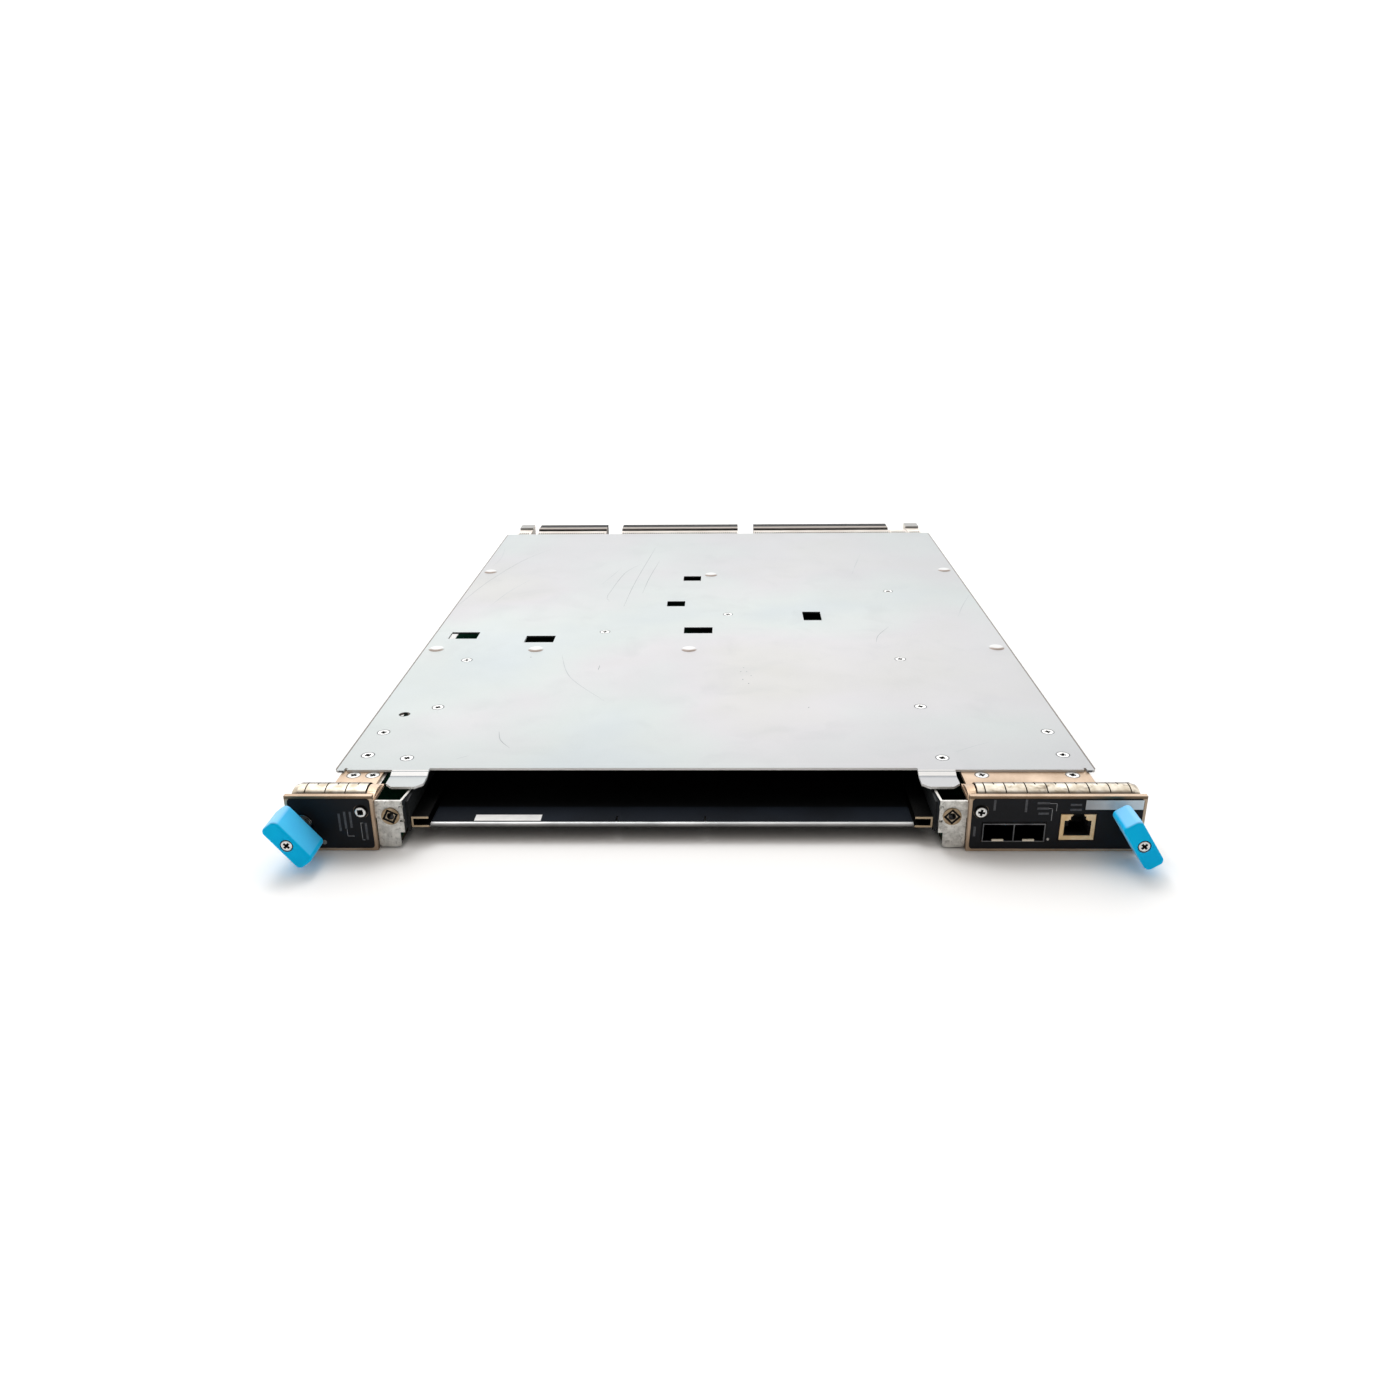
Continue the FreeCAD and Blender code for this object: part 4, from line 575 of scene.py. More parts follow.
# Green solder mask over copper: fine tracks just lighter than the ground, and bare laminate along the edges.
boardLook = {
    "name": "solderMask", "dark": "#0A2219", "light": "#0E2E21", "patch": 30.0, "grain": 1.0,
    "rough": (0.6, 0.75), "specular": 0.0, "depth": 0.01,
    "track": "#1C4A35", "trackPitch": 2.4,
    "zoneSize": 24.0, "zoneMask": ((0.45, "#000000"), (0.55, "#C0C0C0")),
    "laminate": "#2F2E22", "edgeFacing": 0.5,
}


def makeBoardFinish(look):
    coat = startCoat(look)
    tree = coat.tree
    tracks = addNode(tree, "ShaderNodeTexBrick", {
        "Vector": coat.place, "Scale": perMetre(look["trackPitch"]),
        "Mortar Size": 0.12, "Brick Width": 5.0, "Row Height": 0.6,
    })
    zones = blots(coat, look["zoneSize"], look["zoneMask"], detail=1.0)
    seen = addNode(tree, "ShaderNodeMath", {0: tracks.outputs["Fac"], 1: zones}, operation="MULTIPLY")
    overprint(coat, seen.outputs[0], look["track"])
    edge = addNode(
        tree, "ShaderNodeMath", {0: coat.facing["Z"], 1: 0.0, 2: look["edgeFacing"]}, operation="COMPARE"
    )
    overprint(coat, edge.outputs[0], look["laminate"])
    return coat.material


finishes["board"] = makeBoardFinish(boardLook)

# Black anodised aluminium: satin, with drawing lines along the fins.
sinkLook = {
    "name": "anodisedAluminium", "dark": "#101113", "light": "#1B1C1F", "patch": 30.0, "grain": 0.5,
    "rough": (0.4, 0.55), "metallic": 0.2, "specular": 0.2, "depth": 0.006,
    "line": "#2A2B2E", "lineSize": 0.8, "lineStretch": (0.02, 1.0, 1.0),
    "lineMask": ((0.5, "#000000"), (0.75, "#A0A0A0")),
}


def makeSinkFinish(look):
    coat = startCoat(look)
    tree = coat.tree
    drawn = addNode(tree, "ShaderNodeMapping", {"Vector": coat.place, "Scale": look["lineStretch"]})
    lines = addNode(
        tree, "ShaderNodeTexNoise", {"Vector": drawn.outputs[0], "Scale": perMetre(look["lineSize"])}
    )
    mask = addNode(tree, "ShaderNodeValToRGB", {"Fac": lines.outputs[0]}, stops=look["lineMask"])
    overprint(coat, mask.outputs[0], look["line"])
    return coat.material


finishes["sink"] = makeSinkFinish(sinkLook)

# Rear housings of black glass-filled plastic: the ridge along their top and its ends are lighter grey.
housingLook = {
    **plainLooks["connectorDark"], "name": "greyTopGlassNylon", "specular": 0.05,
    "greyTone": "#B1AAA4", "greyToneTo": 549.2, "greyToneFacing": 0.5,
}


def makeHousingFinish(look):
    coat = startCoat(look)
    tree = coat.tree
    across = addNode(tree, "ShaderNodeMath", {0: coat.facing["X"]}, operation="ABSOLUTE")
    outward = addNode(
        tree, "ShaderNodeMath", {0: across.outputs[0], 1: coat.facing["Z"]}, operation="MAXIMUM"
    )
    level = addNode(
        tree, "ShaderNodeMath", {0: outward.outputs[0], 1: look["greyToneFacing"]}, operation="GREATER_THAN"
    )
    ahead = addNode(
        tree, "ShaderNodeMath", {0: coat.axes["Y"], 1: onAxis("Y", look["greyToneTo"])},
        operation="LESS_THAN",
    )
    both = addNode(tree, "ShaderNodeMath", {0: level.outputs[0], 1: ahead.outputs[0]}, operation="MULTIPLY")
    overprint(coat, both.outputs[0], look["greyTone"])
    return coat.material


finishes["housing"] = makeHousingFinish(housingLook)

# Silver-white polyester label stock, left bare; the one beside the jack is duller to the left.
labelLook = {
    "name": "bareLabel", "dark": "#E4E5E6", "light": "#F6F6F5", "patch": 8.0, "grain": 0.4,
    "rough": (0.3, 0.42), "metallic": 0.1, "depth": 0.004, "fades": (("X", 192.0, 177.0, 0.8, "#9A9C9F"),),
}


def makeLabelFinish(look):
    coat = startCoat(look)
    fadeAlong(coat, look["fades"])
    return coat.material


finishes["label"] = startCoat(labelLook).material
finishes["dullLabel"] = makeLabelFinish(labelLook)

# The finish of each CAD node: those that stand on both sides, then the others.
sideFinishes = {
    "faceplate": "bronze", "overlay": "overlay", "gasket": "strip", "bracket": "bracket", "bay_wall": "wall",
    "rail": "rail", "grip": "grip", "grip_screw": "gripScrew", "jackscrew": "shaft", "clip": "shaft",
    "bushing": "chrome", "heat_sink": "sink", "guide": "guide", "housing": "housing",
    "wafers": "connectorCream",
}
nodeFinishes = {
    "top_cover": "cover", "bay_floor": "hem", "bay_film": "film",
    "nut_retainers": "nutBronze", "floating_nuts": "nutSteel",
    "cover_screws": "coverScrew", "flange_screws": "flangeScrew", "face_screws": "faceScrew",
    "main_board": "board", "cover_standoffs": "post", "flange_standoff": "post", "bay_spacers": "post",
    "fabric_chips": "chip", "control_chip": "chip", "power_modules": "chip", "bulk_capacitors": "can",
    "module_connector": "connectorDark", "sfp_connectors": "connectorDark", "rj45_insert": "connectorDark",
    "middle_housing": "housing", "middle_wafers": "connectorCream", "power_block": "connectorCream",
    "sfp_cage": "cage", "rj45_shield": "jack", "rj45_contacts": "jack", "status_lens": "lens",
}
for side in ("left", "right"):
    nodeFinishes.update({f"{side}_{piece}": finish for piece, finish in sideFinishes.items()})
for node, finish in nodeFinishes.items():
    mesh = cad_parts[node].data
    if not mesh.materials:
        mesh.materials.append(None)
    for i in range(len(mesh.materials)):
        mesh.materials[i] = finishes[finish]
print("finishes:", len(finishes), "nodes dressed:", len(nodeFinishes))


def newPiece(name, mesh, finish, body="chassis"):
    piece = bpy.data.objects.new(name, mesh)
    bpy.context.scene.collection.objects.link(piece)
    mesh.materials.clear()
    mesh.materials.append(finishes[finish])
    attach(piece, body)


def boxesMesh(name, boxes):
    # plain blocks, each from its low to its high corner in card mm
    shape = bmesh.new()
    for low, high in boxes:
        a, b = spot(*low), spot(*high)
        centre = Matrix.Translation((a + b) / 2)
        size = Matrix.Diagonal(tuple(b - a) + (1.0,))
        bmesh.ops.create_cube(shape, size=1.0, matrix=centre @ size)
    mesh = bpy.data.meshes.new(name)
    shape.to_mesh(mesh)
    shape.free()
    return mesh


# Two bare stuck-on labels: low and high corner in card mm, finish and slot.
labels = {
    "portLabel": ((175.6, -0.42, 22.4), (202.6, -0.3, 27.3), "dullLabel", "overlay_dark"),
    "bayLabel": ((-117.4, 13.1, 9.1), (-84.6, 19.3, 9.2), "label", "bay_film"),
}
for name, (low, high, finish, slot) in labels.items():
    newPiece(name, boxesMesh(name, [(low, high)]), finish)

# Print beside the ports: brackets as thin strokes, and short plain bars, each between two places in X and Z.
printLook = {"front": -0.33, "back": -0.3, "stroke": 0.28, "bar": 1.1}
leftStrokes = [
    ((-175.7, 11.5), (-175.7, 8.0)), ((-175.7, 8.0), (-172.6, 8.0)),
    ((-168.7, 15.1), (-168.7, 5.9)), ((-168.7, 15.1), (-167.7, 15.1)), ((-168.7, 5.9), (-167.7, 5.9)),
]
leftBars = [
    ((-178.8, 19.6), (-178.8, 11.2)), ((-176.0, 20.6), (-176.0, 12.6)),
    ((-173.3, 20.6), (-173.3, 13.0)), ((-166.3, 14.6), (-166.3, 6.6)),
]
rightStrokes = [
    ((158.8, 25.6), (162.1, 25.6)), ((162.1, 25.6), (162.1, 21.8)),
    ((158.6, 22.9), (160.2, 22.9)), ((160.2, 22.9), (160.2, 16.6)),
]
rightBars = [
    ((133.0, 27.0), (133.0, 22.4)), ((147.8, 27.2), (147.8, 21.6)), ((153.4, 25.8), (158.2, 25.8)),
    ((153.6, 23.0), (158.0, 23.0)), ((154.4, 20.3), (158.2, 20.3)), ((169.0, 24.9), (173.2, 24.9)),
    ((169.0, 22.3), (173.4, 22.3)), ((124.5, 12.8), (124.5, 8.6)),
]


def strokeBoxes(strokes, width, look):
    half = width / 2
    boxes = []
    for (xa, za), (xb, zb) in strokes:
        low = (min(xa, xb) - half, look["front"], min(za, zb) - half)
        high = (max(xa, xb) + half, look["back"], max(za, zb) + half)
        boxes.append((low, high))
    return boxes


for name, strokes, width, finish in (
    ("leftLines", leftStrokes, "stroke", "ink"),
    ("rightLines", rightStrokes, "stroke", "ink"),
    ("leftBars", leftBars, "bar", "fadedInk"),
    ("rightBars", rightBars, "bar", "fadedInk"),
):
    boxes = strokeBoxes(strokes, printLook[width], printLook)
    newPiece(name, boxesMesh(name, boxes), finish)
print("labels and print placed")

# Ends of the contact strips: the last finger rolls down, and a folded tab closes the end beside the bay.
# Each has its start and end in X, its rise at both in mm, and its finish.
stripEnds = {
    "leftStripEnd": (-200.05, -202.7, 4.0, 2.9, "strip"), "rightStripEnd": (200.05, 202.9, 4.0, 2.9, "strip"),
    "leftStripTab": (-166.2, -162.4, 3.4, 2.3, "bronze"), "rightStripTab": (125.4, 121.6, 3.4, 2.3, "bronze"),
}
stripArch = {"front": 3.4, "rear": 19.6, "foot": 25.62, "steps": 14}


def archMesh(name, start, end, startRise, endRise, look):
    # a solid arch over the strip's depth, lower at its end
    shape = bmesh.new()
    rows = []
    for x, rise in ((start, startRise), (end, endRise)):
        row = []
        for i in range(look["steps"] + 1):
            part = i / look["steps"]
            y = look["front"] + (look["rear"] - look["front"]) * part
            row.append(shape.verts.new(spot(x, y, look["foot"] + 4 * rise * part * (1 - part))))
        rows.append(row)
    for i in range(look["steps"]):
        shape.faces.new((rows[0][i], rows[0][i + 1], rows[1][i + 1], rows[1][i]))
    shape.faces.new((rows[0][0], rows[1][0], rows[1][-1], rows[0][-1]))
    for row in rows:
        shape.faces.new(row)
    bmesh.ops.recalc_face_normals(shape, faces=shape.faces)
    mesh = bpy.data.meshes.new(name)
    shape.to_mesh(mesh)
    shape.free()
    return mesh


for name, (start, end, startRise, endRise, finish) in stripEnds.items():
    newPiece(name, archMesh(name, start, end, startRise, endRise, stripArch), finish)

# Painted shade in the gap around each floating nut, as a flat dark frame: the middle in X, the height and the
# turn of its square.
nutGaps = {"leftNutGap": (-154.8, 17.4, 27.0), "rightNutGap": (114.0, 17.4, 45.0)}
nutGapLook = {"front": 1.76, "outer": 2.95, "inner": 1.95}


def frameMesh(name, x, z, turn, look):
    # a flat square frame that faces the front
    corners = []
    for half in (look["outer"], look["inner"]):
        for step in range(4):
            angle = math.radians(turn + 45 + 90 * step)
            reach = half * math.sqrt(2)
            corners.append(spot(x + reach * math.cos(angle), look["front"], z - reach * math.sin(angle)))
    faces = [(4 + i, 4 + (i + 1) % 4, (i + 1) % 4, i) for i in range(4)]
    mesh = bpy.data.meshes.new(name)
    mesh.from_pydata(corners, [], faces)
    return mesh


for name, (x, z, turn) in nutGaps.items():
    newPiece(name, frameMesh(name, x, z, turn, nutGapLook), "gapBlack")
print("strips and nuts finished")


def startTree(name, sizes):
    # a node tree whose named inputs are the sizes that a piece gives it
    tree = bpy.data.node_groups.new(name, "GeometryNodeTree")
    kinds = {
        float: "NodeSocketFloat", int: "NodeSocketInt",
        Vector: "NodeSocketVector", bpy.types.Material: "NodeSocketMaterial",
    }
    tree.interface.new_socket("Seed", in_out="INPUT", socket_type="NodeSocketGeometry")
    for label, size in sizes.items():
        tree.interface.new_socket(label, in_out="INPUT", socket_type=kinds[type(size)])
    tree.interface.new_socket("Geometry", in_out="OUTPUT", socket_type="NodeSocketGeometry")
    return tree, addNode(tree, "NodeGroupInput").outputs


def endTree(tree, geometry, material):
    whole = addNode(tree, "GeometryNodeRealizeInstances", {0: geometry})
    painted = addNode(tree, "GeometryNodeSetMaterial", {"Geometry": whole.outputs[0], "Material": material})
    addNode(tree, "NodeGroupOutput", {0: painted.outputs[0]})


builtTrees = {}


def growMesh(name, makeTree, sizes, points=(), edges=()):
    # runs a tree, which is built once, on a holder of seed points and keeps the result as a plain mesh
    if makeTree not in builtTrees:
        builtTrees[makeTree] = makeTree(sizes)
    tree = builtTrees[makeTree]
    seed = bpy.data.meshes.new(name + "Seed")
    seed.from_pydata(points, edges, [])
    holder = bpy.data.objects.new(name + "Holder", seed)
    bpy.context.scene.collection.objects.link(holder)
    grow = holder.modifiers.new("grow", "NODES")
    grow.node_group = tree
    for item in tree.interface.items_tree:
        if item.in_out == "INPUT" and item.name in sizes:
            size = sizes[item.name]
            grow[item.identifier] = tuple(size) if isinstance(size, Vector) else size
    graph = bpy.context.evaluated_depsgraph_get()
    mesh = bpy.data.meshes.new_from_object(holder.evaluated_get(graph))
    mesh.name = name
    holder.modifiers.remove(grow)
    bpy.data.objects.remove(holder)
    return mesh


def makeGridTree(sizes):
    tree, given = startTree("blockGrid", sizes)
    columns = addNode(
        tree, "GeometryNodeMeshLine",
        {"Count": given["Columns"], "Start Location": given["Start"], "Offset": given["Column step"]},
        mode="OFFSET",
    )
    rows = addNode(
        tree, "GeometryNodeMeshLine", {"Count": given["Rows"], "Offset": given["Row step"]}, mode="OFFSET"
    )
    spread = addNode(
        tree, "GeometryNodeInstanceOnPoints", {"Points": columns.outputs[0], "Instance": rows.outputs[0]}
    )
    points = addNode(tree, "GeometryNodeRealizeInstances", {0: spread.outputs[0]})
    block = addNode(tree, "GeometryNodeMeshCube", {"Size": given["Block"]})
    blocks = addNode(
        tree, "GeometryNodeInstanceOnPoints", {"Points": points.outputs[0], "Instance": block.outputs[0]}
    )
    endTree(tree, blocks.outputs[0], given["Finish"])
    return tree


# Each grid has its columns' pitch, its block's size, Y and Z of the first row, and the step between rows.
# Contact wafers: painted shade in the gaps between cream blades, as flat dark blocks, so the strip behind the
# cover looks dotted.
gapLook = {"finish": "gapBlack", "pitch": 1.9, "block": (1.0, 4.4, 0.1), "y": 531.2, "z": 26.31}
# Contact tails in two rows along the top of the rear connectors.
tailLook = {
    "finish": "tail", "pitch": 1.3, "block": (0.6, 1.6, 0.12), "y": 552.4, "z": 27.72,
    "rows": 2, "step": (0.0, 3.6, 0.0),
}
# Mating face of the rear connectors: rows of slots for the blades of the backplane, drawn as flat blocks
# painted near black as the shade in them.
slotLook = {
    "finish": "film", "pitch": 2.0, "block": (0.9, 0.12, 1.5), "y": 558.79, "z": 3.0,
    "rows": 8, "step": (0.0, 0.0, 2.7),
}
gridMargin = 1.0  # least bare length of a connector beside its columns
connectors = {"left": (-164.0, -101.5), "middle": (-87.2, 18.9), "right": (33.4, 156.0)}
feet = {**connectors, "leftGuide": (-182.0, -170.0), "power": (156.4, 172.3), "rightGuide": (172.7, 184.7)}
# Cream blades that stand on the power block, as high as the wafers beside it.
bladesBox = ((156.6, 527.6, 24.62), (172.1, 540.8, 26.28))
newPiece("powerBlades", boxesMesh("powerBlades", [bladesBox]), "connectorCream")


def addGrid(name, start, end, look):
    # blocks in even columns between two places in X, with rows that step up or back
    pitch = look["pitch"]
    count = int((end - start - gridMargin) / pitch)
    inset = (end - start - (count - 1) * pitch) / 2
    sizes = {
        "Start": spot(start + inset, look["y"], look["z"]),
        "Column step": Vector((pitch, 0, 0)) * mm,
        "Columns": count,
        "Row step": Vector(look.get("step", (0.0, 0.0, 0.0))) * mm,
        "Rows": look.get("rows", 1),
        "Block": Vector(look["block"]) * mm,
        "Finish": finishes[look["finish"]],
    }
    newPiece(name, growMesh(name, makeGridTree, sizes), look["finish"])


for side, (start, end) in feet.items():
    addGrid(side + "Gaps", start, end, gapLook)
for side, (start, end) in connectors.items():
    addGrid(side + "Tails", start, end, tailLook)
    addGrid(side + "ContactSlots", start, end, slotLook)
print("rear connectors detailed")

# Marks on the cover: thin scratches from handling, as runs of X and Y in card mm, and specks of dirt.
markLook = {
    "level": 26.82, "deepWidth": 0.42, "faintWidth": 0.5, "speckWidth": 0.7, "speckRun": (0.3, 1.6),
    "flangeLevel": 25.62, "ringWidth": 0.5, "ringRadius": 3.1,
}
deepScratches = [
    [(-189.4, 307.4), (-178.6, 374.4), (-161.7, 435.3), (-142.9, 474.6)],
    [(-78.4, 319.7), (-81.3, 328.5), (-80.3, 344.0), (-73.0, 397.3), (-61.1, 425.3)],
    [(-67.0, 306.0), (-63.0, 372.8), (-52.8, 479.3)],
    [(-55.5, 340.3), (-52.9, 382.2), (-47.4, 433.5)],
    [(-116.3, 82.1), (-113.3, 70.6), (-106.8, 60.3)],
    [(105.8, 226.6), (108.8, 240.8), (118.2, 259.1)],
    [(-72.3, 175.7), (-72.1, 185.0)],
]
faintScratches = [
    [(-164.9, 309.6), (-157.4, 346.0), (-146.4, 377.6)],
    [(-88.9, 363.7), (-83.1, 387.5), (-77.1, 412.9)],
    [(-98.2, 204.0), (-87.8, 164.1), (-63.2, 125.4)],
    [(-126.0, 50.8), (-132.2, 46.6)],
    [(107.2, 390.3), (112.8, 417.9), (121.4, 454.6)],
    [(170.1, 281.9), (177.5, 305.7), (187.6, 332.1)],
    [(164.6, 431.4), (176.5, 459.7)],
    [(124.4, 54.6), (133.6, 61.1), (145.2, 67.7)],
    [(-183.5, 419.4), (-181.5, 444.6), (-184.1, 478.1)],
]
speckPlaces = [
    (17.5, 179.2), (19.2, 172.2), (21.8, 165.3), (16.6, 158.6),
    (20.0, 151.9), (15.6, 172.2), (53.2, 114.4), (-118.1, 199.2),
]
runX, runY = markLook["speckRun"]
specks = [[(x, y), (x + runX, y + runY)] for x, y in speckPlaces]


def makeScratchTree(sizes):
    # flat ribbons along smooth curves, thin at both ends
    tree, given = startTree("scratches", sizes)
    path = addNode(tree, "GeometryNodeMeshToCurve", {0: given["Seed"]})
    bent = addNode(tree, "GeometryNodeCurveSplineType", {0: path.outputs[0]}, spline_type="CATMULL_ROM")
    fine = addNode(tree, "GeometryNodeResampleCurve", {"Curve": bent.outputs[0], "Count": 16})
    along = addNode(tree, "GeometryNodeSplineParameter")
    arch = addNode(tree, "ShaderNodeMath", {0: along.outputs["Factor"], 1: math.pi}, operation="MULTIPLY")
    swell = addNode(tree, "ShaderNodeMath", {0: arch.outputs[0]}, operation="SINE")
    taper = addNode(tree, "ShaderNodeMapRange", {"Value": swell.outputs[0], "To Min": 0.3, "To Max": 1.0})
    flat = addNode(tree, "GeometryNodeCurvePrimitiveLine", {"Start": (0.0, 0.0, 0.0), "End": given["Width"]})
    ribbon = addNode(
        tree, "GeometryNodeCurveToMesh",
        {"Curve": fine.outputs[0], "Profile Curve": flat.outputs[0], "Scale": taper.outputs[0]},
    )
    endTree(tree, ribbon.outputs[0], given["Finish"])
    return tree


for name, runs, width, finish in (
    ("deepScratches", deepScratches, "deepWidth", "deepScratch"),
    ("faintScratches", faintScratches, "faintWidth", "faintScratch"),
    ("dirtSpecks", specks, "speckWidth", "deepScratch"),
):
    sizes = {"Width": Vector((markLook[width], 0, 0)) * mm, "Finish": finishes[finish]}
    points, edges = [], []
    for run in runs:
        edges += [(len(points) + i, len(points) + i + 1) for i in range(len(run) - 1)]
        points += [spot(x, y, markLook["level"]) for x, y in run]
    newPiece(name, growMesh(name, makeScratchTree, sizes, points, edges), finish)


def makeRingTree(sizes):
    # flat rings around given points
    tree, given = startTree("rings", sizes)
    circle = addNode(
        tree, "GeometryNodeCurvePrimitiveCircle", {"Resolution": 40, "Radius": given["Radius"]}, mode="RADIUS"
    )
    flat = addNode(tree, "GeometryNodeCurvePrimitiveLine", {"Start": (0.0, 0.0, 0.0), "End": given["Width"]})
    ring = addNode(
        tree, "GeometryNodeCurveToMesh", {"Curve": circle.outputs[0], "Profile Curve": flat.outputs[0]}
    )
    rings = addNode(
        tree, "GeometryNodeInstanceOnPoints", {"Points": given["Seed"], "Instance": ring.outputs[0]}
    )
    endTree(tree, rings.outputs[0], given["Finish"])
    return tree


# Painted shade in the gap around each countersunk head, as flat grey rings; the heads at X, Y and Z in card
# mm.
coverPlaces = [(x, y) for x in (-157.7, 116.9) for y in (48.0, 116.4, 194.8)]
coverPlaces += [(x, y) for x in (-179.0, 179.0) for y in (51.6, 80.8)]
coverPlaces += [(-75.0, 250.0), (8.7, 288.0), (129.4, 343.3)]
coverHeads = [(x, y, markLook["level"]) for x, y in coverPlaces]
flangeHeads = [(x, 30.4, markLook["flangeLevel"]) for x in (-180.1, -170.5, 133.3, 178.1)]
sizes = {
    "Radius": markLook["ringRadius"] * mm,
    "Width": Vector((markLook["ringWidth"], 0, 0)) * mm,
    "Finish": finishes["recessShade"],
}
for name, heads, slot in (
    ("coverRings", coverHeads, "cover_zinc"),
    ("flangeRings", flangeHeads, "face_bronze"),
):
    newPiece(name, growMesh(name, makeRingTree, sizes, [spot(*head) for head in heads]), "recessShade")


def makeCrossTree(sizes):
    # flat crosses on given points, each turned a little its own way
    tree, given = startTree("crosses", sizes)
    bars = [
        addNode(
            tree, "GeometryNodeMeshGrid",
            {"Size X": given[along], "Size Y": given[across], "Vertices X": 2, "Vertices Y": 2},
        )
        for along, across in (("Length", "Width"), ("Width", "Length"))
    ]
    cross = addNode(tree, "GeometryNodeJoinGeometry", {0: bars[0].outputs[0]})
    tree.links.new(bars[1].outputs[0], cross.inputs[0])
    turn = addNode(
        tree, "FunctionNodeRandomValue", {0: given["Least turn"], 1: given["Most turn"], "Seed": 4},
        data_type="FLOAT_VECTOR",
    )
    crosses = addNode(
        tree, "GeometryNodeInstanceOnPoints",
        {"Points": given["Seed"], "Instance": cross.outputs[0], "Rotation": turn.outputs[0]},
    )
    endTree(tree, crosses.outputs[0], given["Finish"])
    return tree


# Painted shade in and around the drive recesses, as flat black crosses.
crossLook = {
    "length": 3.4, "width": 1.15,
    # least and most turn of a cross that looks up or to the front
    "up": ((0.0, 0.0, -0.7), (0.0, 0.0, 0.7)),
    "front": ((math.pi / 2, 0.1, 0.0), (math.pi / 2, 0.8, 0.0)),
}
faceHeads = [(-167.9, -1.52, 21.3), (126.8, -1.52, 21.3)]
ejectorX, ejectorZ = 196.5, 15.2  # the axis that each grip and its shaft turn about
gripFace = -22.82  # just in front of the grip screws' heads
for name, heads, way, body in (
    ("coverRecesses", coverHeads, "up", "chassis"),
    ("flangeRecesses", flangeHeads, "up", "chassis"),
    ("faceRecesses", faceHeads, "front", "chassis"),
    ("leftGripRecess", [(-ejectorX, gripFace, ejectorZ)], "front", "left_ejector"),
    ("rightGripRecess", [(ejectorX, gripFace, ejectorZ)], "front", "right_ejector"),
):
    sizes = {
        "Length": crossLook["length"] * mm,
        "Width": crossLook["width"] * mm,
        "Least turn": Vector(crossLook[way][0]),
        "Most turn": Vector(crossLook[way][1]),
        "Finish": finishes["gapBlack"],
    }
    mesh = growMesh(name, makeCrossTree, sizes, [spot(*head) for head in heads])
    newPiece(name, mesh, "gapBlack", body)
print("cover marked")

# Rolled thread on the free end of each jackscrew.
threadLook = {"pitch": 1.0, "start": 9.6, "end": 28.6, "radius": 2.95, "ridge": 0.22}


def makeThreadTree(sizes):
    tree, given = startTree("rolledThread", sizes)
    path = addNode(tree, "GeometryNodeCurveSpiral", {
        "Resolution": 24, "Rotations": given["Turns"], "Height": given["Length"],
        "Start Radius": given["Radius"], "End Radius": given["Radius"],
    })
    ridge = addNode(
        tree, "GeometryNodeCurvePrimitiveCircle", {"Resolution": 4, "Radius": given["Ridge"]}, mode="RADIUS"
    )
    coil = addNode(
        tree, "GeometryNodeCurveToMesh",
        {"Curve": path.outputs[0], "Profile Curve": ridge.outputs[0], "Fill Caps": True},
    )
    laid = addNode(
        tree, "GeometryNodeTransform",
        {"Geometry": coil.outputs[0], "Translation": given["Place"], "Rotation": (-math.pi / 2, 0.0, 0.0)},
    )
    endTree(tree, laid.outputs[0], given["Finish"])
    return tree


for side, x in (("left", -ejectorX), ("right", ejectorX)):
    length = threadLook["end"] - threadLook["start"]
    sizes = {
        "Turns": length / threadLook["pitch"],
        "Radius": threadLook["radius"] * mm,
        "Length": length * mm,
        "Ridge": threadLook["ridge"] * mm,
        "Place": spot(x, threadLook["start"], ejectorZ),
        "Finish": finishes["shaft"],
    }
    name = side + "Thread"
    newPiece(name, growMesh(name, makeThreadTree, sizes), "shaft", side + "_ejector")
print("threads rolled")

# Plain white table.
tableLook = {
    "name": "whiteTable", "dark": "#F7F8F9", "light": "#FBFBFB", "patch": 400.0, "grain": 3.0,
    "rough": (0.5, 0.6), "depth": 0.01,
    "half": 1.5, "top": -0.0002,  # in metres, just clear of the card's foot
}
finishes["table"] = startCoat(tableLook).material


def makeTable(look):
    half = look["half"]
    mesh = bpy.data.meshes.new("table")
    corners = ((-half, -half), (half, -half), (half, half), (-half, half))
    mesh.from_pydata([(x, y, look["top"]) for x, y in corners], [], [(0, 1, 2, 3)])
    mesh.materials.append(finishes["table"])
    table = bpy.data.objects.new("table", mesh)
    bpy.context.scene.collection.objects.link(table)
    table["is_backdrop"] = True


makeTable(tableLook)

# Soft studio light: a white surround, brightest behind the card and overhead and warm and dim in front, and
# one softbox high behind it on the left, which throws a short shadow forward.
studio = {
    "front": "#D8D2CC", "back": "#FFFFFF", "frontFrom": -0.2, "backFrom": 0.75,
    "frontStrength": 0.38, "backStrength": 2.0, "overhead": 0.6, "overheadFrom": 0.5,
    "boxSize": 0.8, "boxPlace": (-0.5, 0.8, 1.9), "boxAim": (0.0, 0.05, 0.0), "boxPower": 12.0,
}
world = bpy.data.worlds.new("studio")
world.use_nodes = True
room = world.node_tree
room.nodes.clear()
around = addNode(room, "ShaderNodeTexCoord").outputs["Generated"]
way = addNode(room, "ShaderNodeSeparateXYZ", {"Vector": around})
depth = addNode(
    room, "ShaderNodeMapRange",
    {"Value": way.outputs["Y"], "From Min": studio["frontFrom"], "From Max": studio["backFrom"]},
)
paint = addNode(
    room, "ShaderNodeMix", {0: depth.outputs[0], 6: hexColor(studio["front"]), 7: hexColor(studio["back"])},
    data_type="RGBA",
)
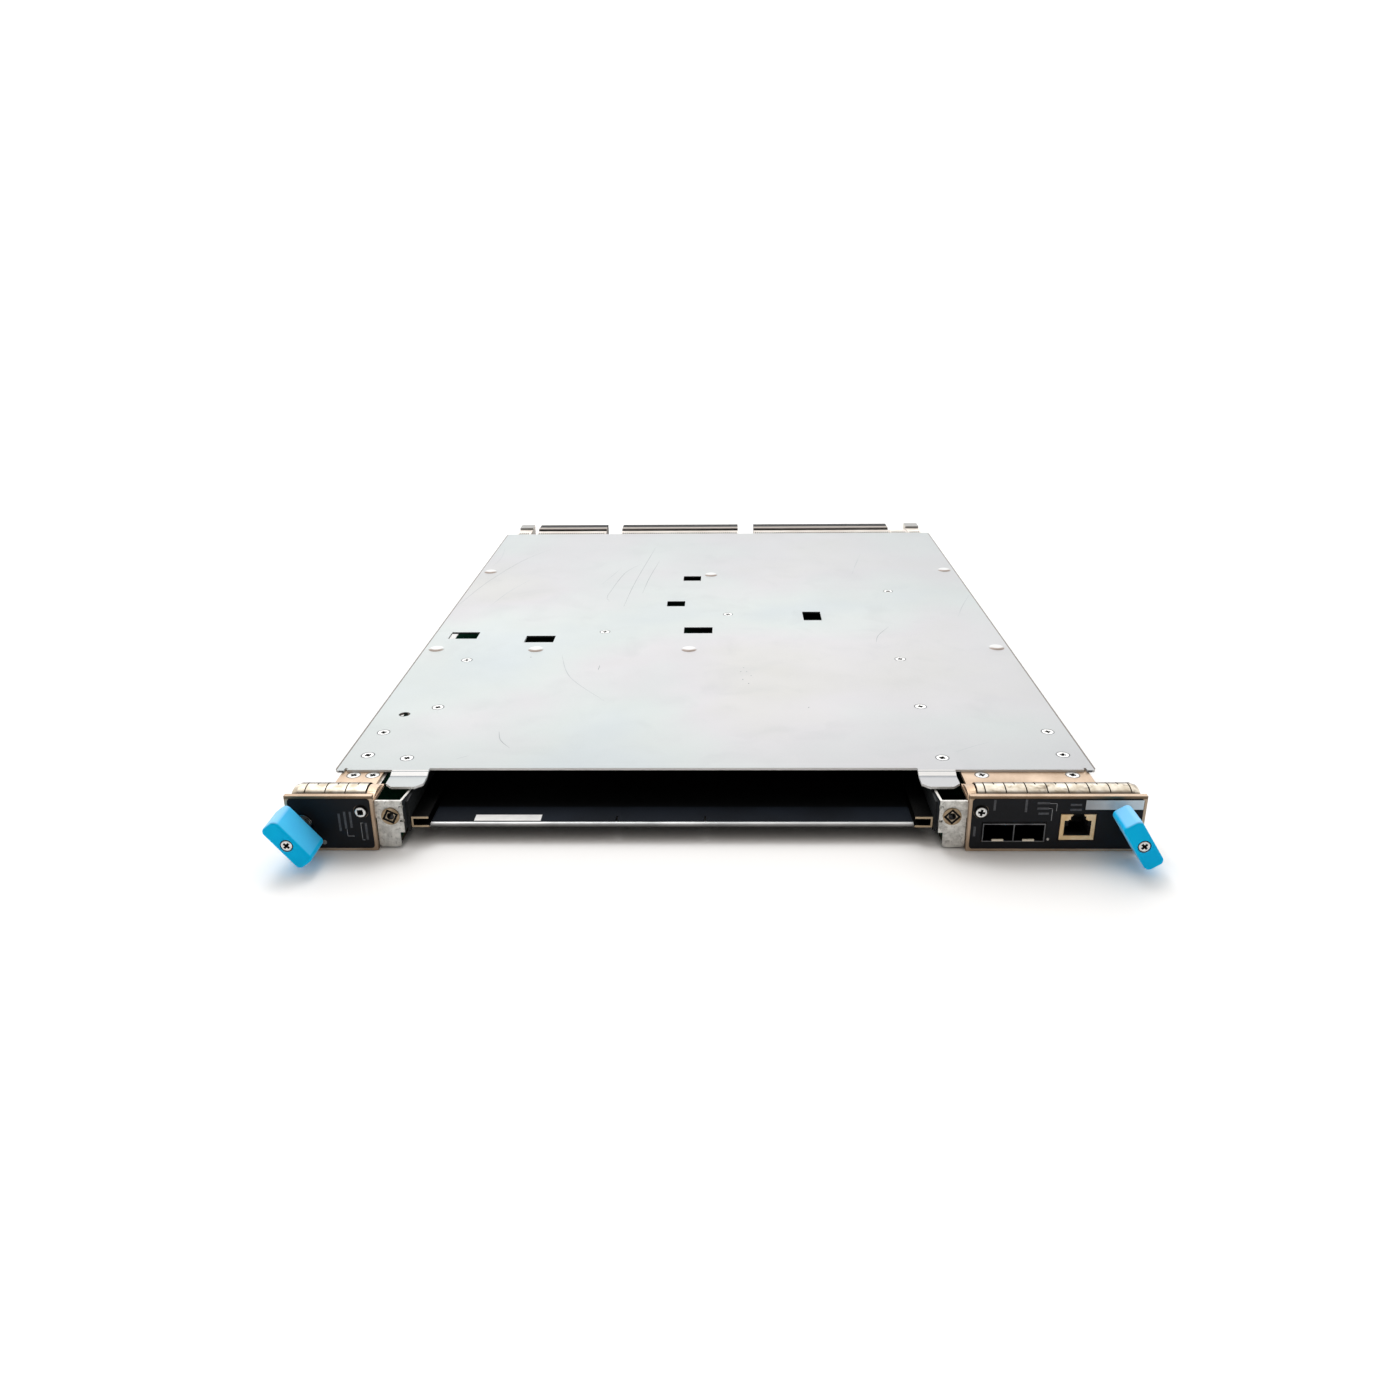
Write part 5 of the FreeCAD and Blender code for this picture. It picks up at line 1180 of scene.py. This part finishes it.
level = addNode(
    room, "ShaderNodeMapRange",
    {"Value": depth.outputs[0], "To Min": studio["frontStrength"], "To Max": studio["backStrength"]},
)
lift = addNode(
    room, "ShaderNodeMapRange",
    {"Value": way.outputs["Z"], "From Min": studio["overheadFrom"], "To Max": studio["overhead"]},
)
strength = addNode(room, "ShaderNodeMath", {0: level.outputs[0], 1: lift.outputs[0]}, operation="ADD")
surround = addNode(room, "ShaderNodeBackground", {"Color": paint.outputs[2], "Strength": strength.outputs[0]})
addNode(room, "ShaderNodeOutputWorld", {"Surface": surround.outputs[0]})
bpy.context.scene.world = world
bpy.context.scene.view_settings.view_transform = "Standard"  # plain tones, as a product photograph has
softbox = bpy.data.lights.new("softbox", "AREA")
softbox.shape = "SQUARE"
softbox.size = studio["boxSize"]
softbox.energy = studio["boxPower"]
hung = bpy.data.objects.new("softbox", softbox)
aim = Vector(studio["boxAim"]) - Vector(studio["boxPlace"])
hung.matrix_world = Matrix.Translation(studio["boxPlace"]) @ aim.to_track_quat("-Z", "Y").to_matrix().to_4x4()
bpy.context.scene.collection.objects.link(hung)

# Camera fitted to the photograph; the focal length is in pixels of a 1400 by 1400 image.
shot = {
    "place": (5.05, -475.18, 271.62), "pitch": 22.13, "yaw": -1.26, "roll": 0.57,
    "focal": 1126.15, "image": 1400, "sensor": 36.0, "near": 0.01, "far": 50.0,
}
pitch, yaw, roll = (math.radians(shot[key]) for key in ("pitch", "yaw", "roll"))
ahead = Vector((math.sin(yaw) * math.cos(pitch), math.cos(yaw) * math.cos(pitch), -math.sin(pitch)))
flat = Vector((math.cos(yaw), -math.sin(yaw), 0.0))
below = ahead.cross(flat)
across = math.cos(roll) * flat + math.sin(roll) * below
down = math.cos(roll) * below - math.sin(roll) * flat
lens = bpy.data.cameras.new("photo")
lens.sensor_width = shot["sensor"]
lens.lens = shot["focal"] / shot["image"] * lens.sensor_width
lens.clip_start = shot["near"]
lens.clip_end = shot["far"]
camera = bpy.data.objects.new("photo", lens)
turn = Matrix((across, -down, -ahead)).transposed()
camera.matrix_world = Matrix.Translation(spot(*shot["place"])) @ turn.to_4x4()
bpy.context.scene.collection.objects.link(camera)
bpy.context.scene.camera = camera

low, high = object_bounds()
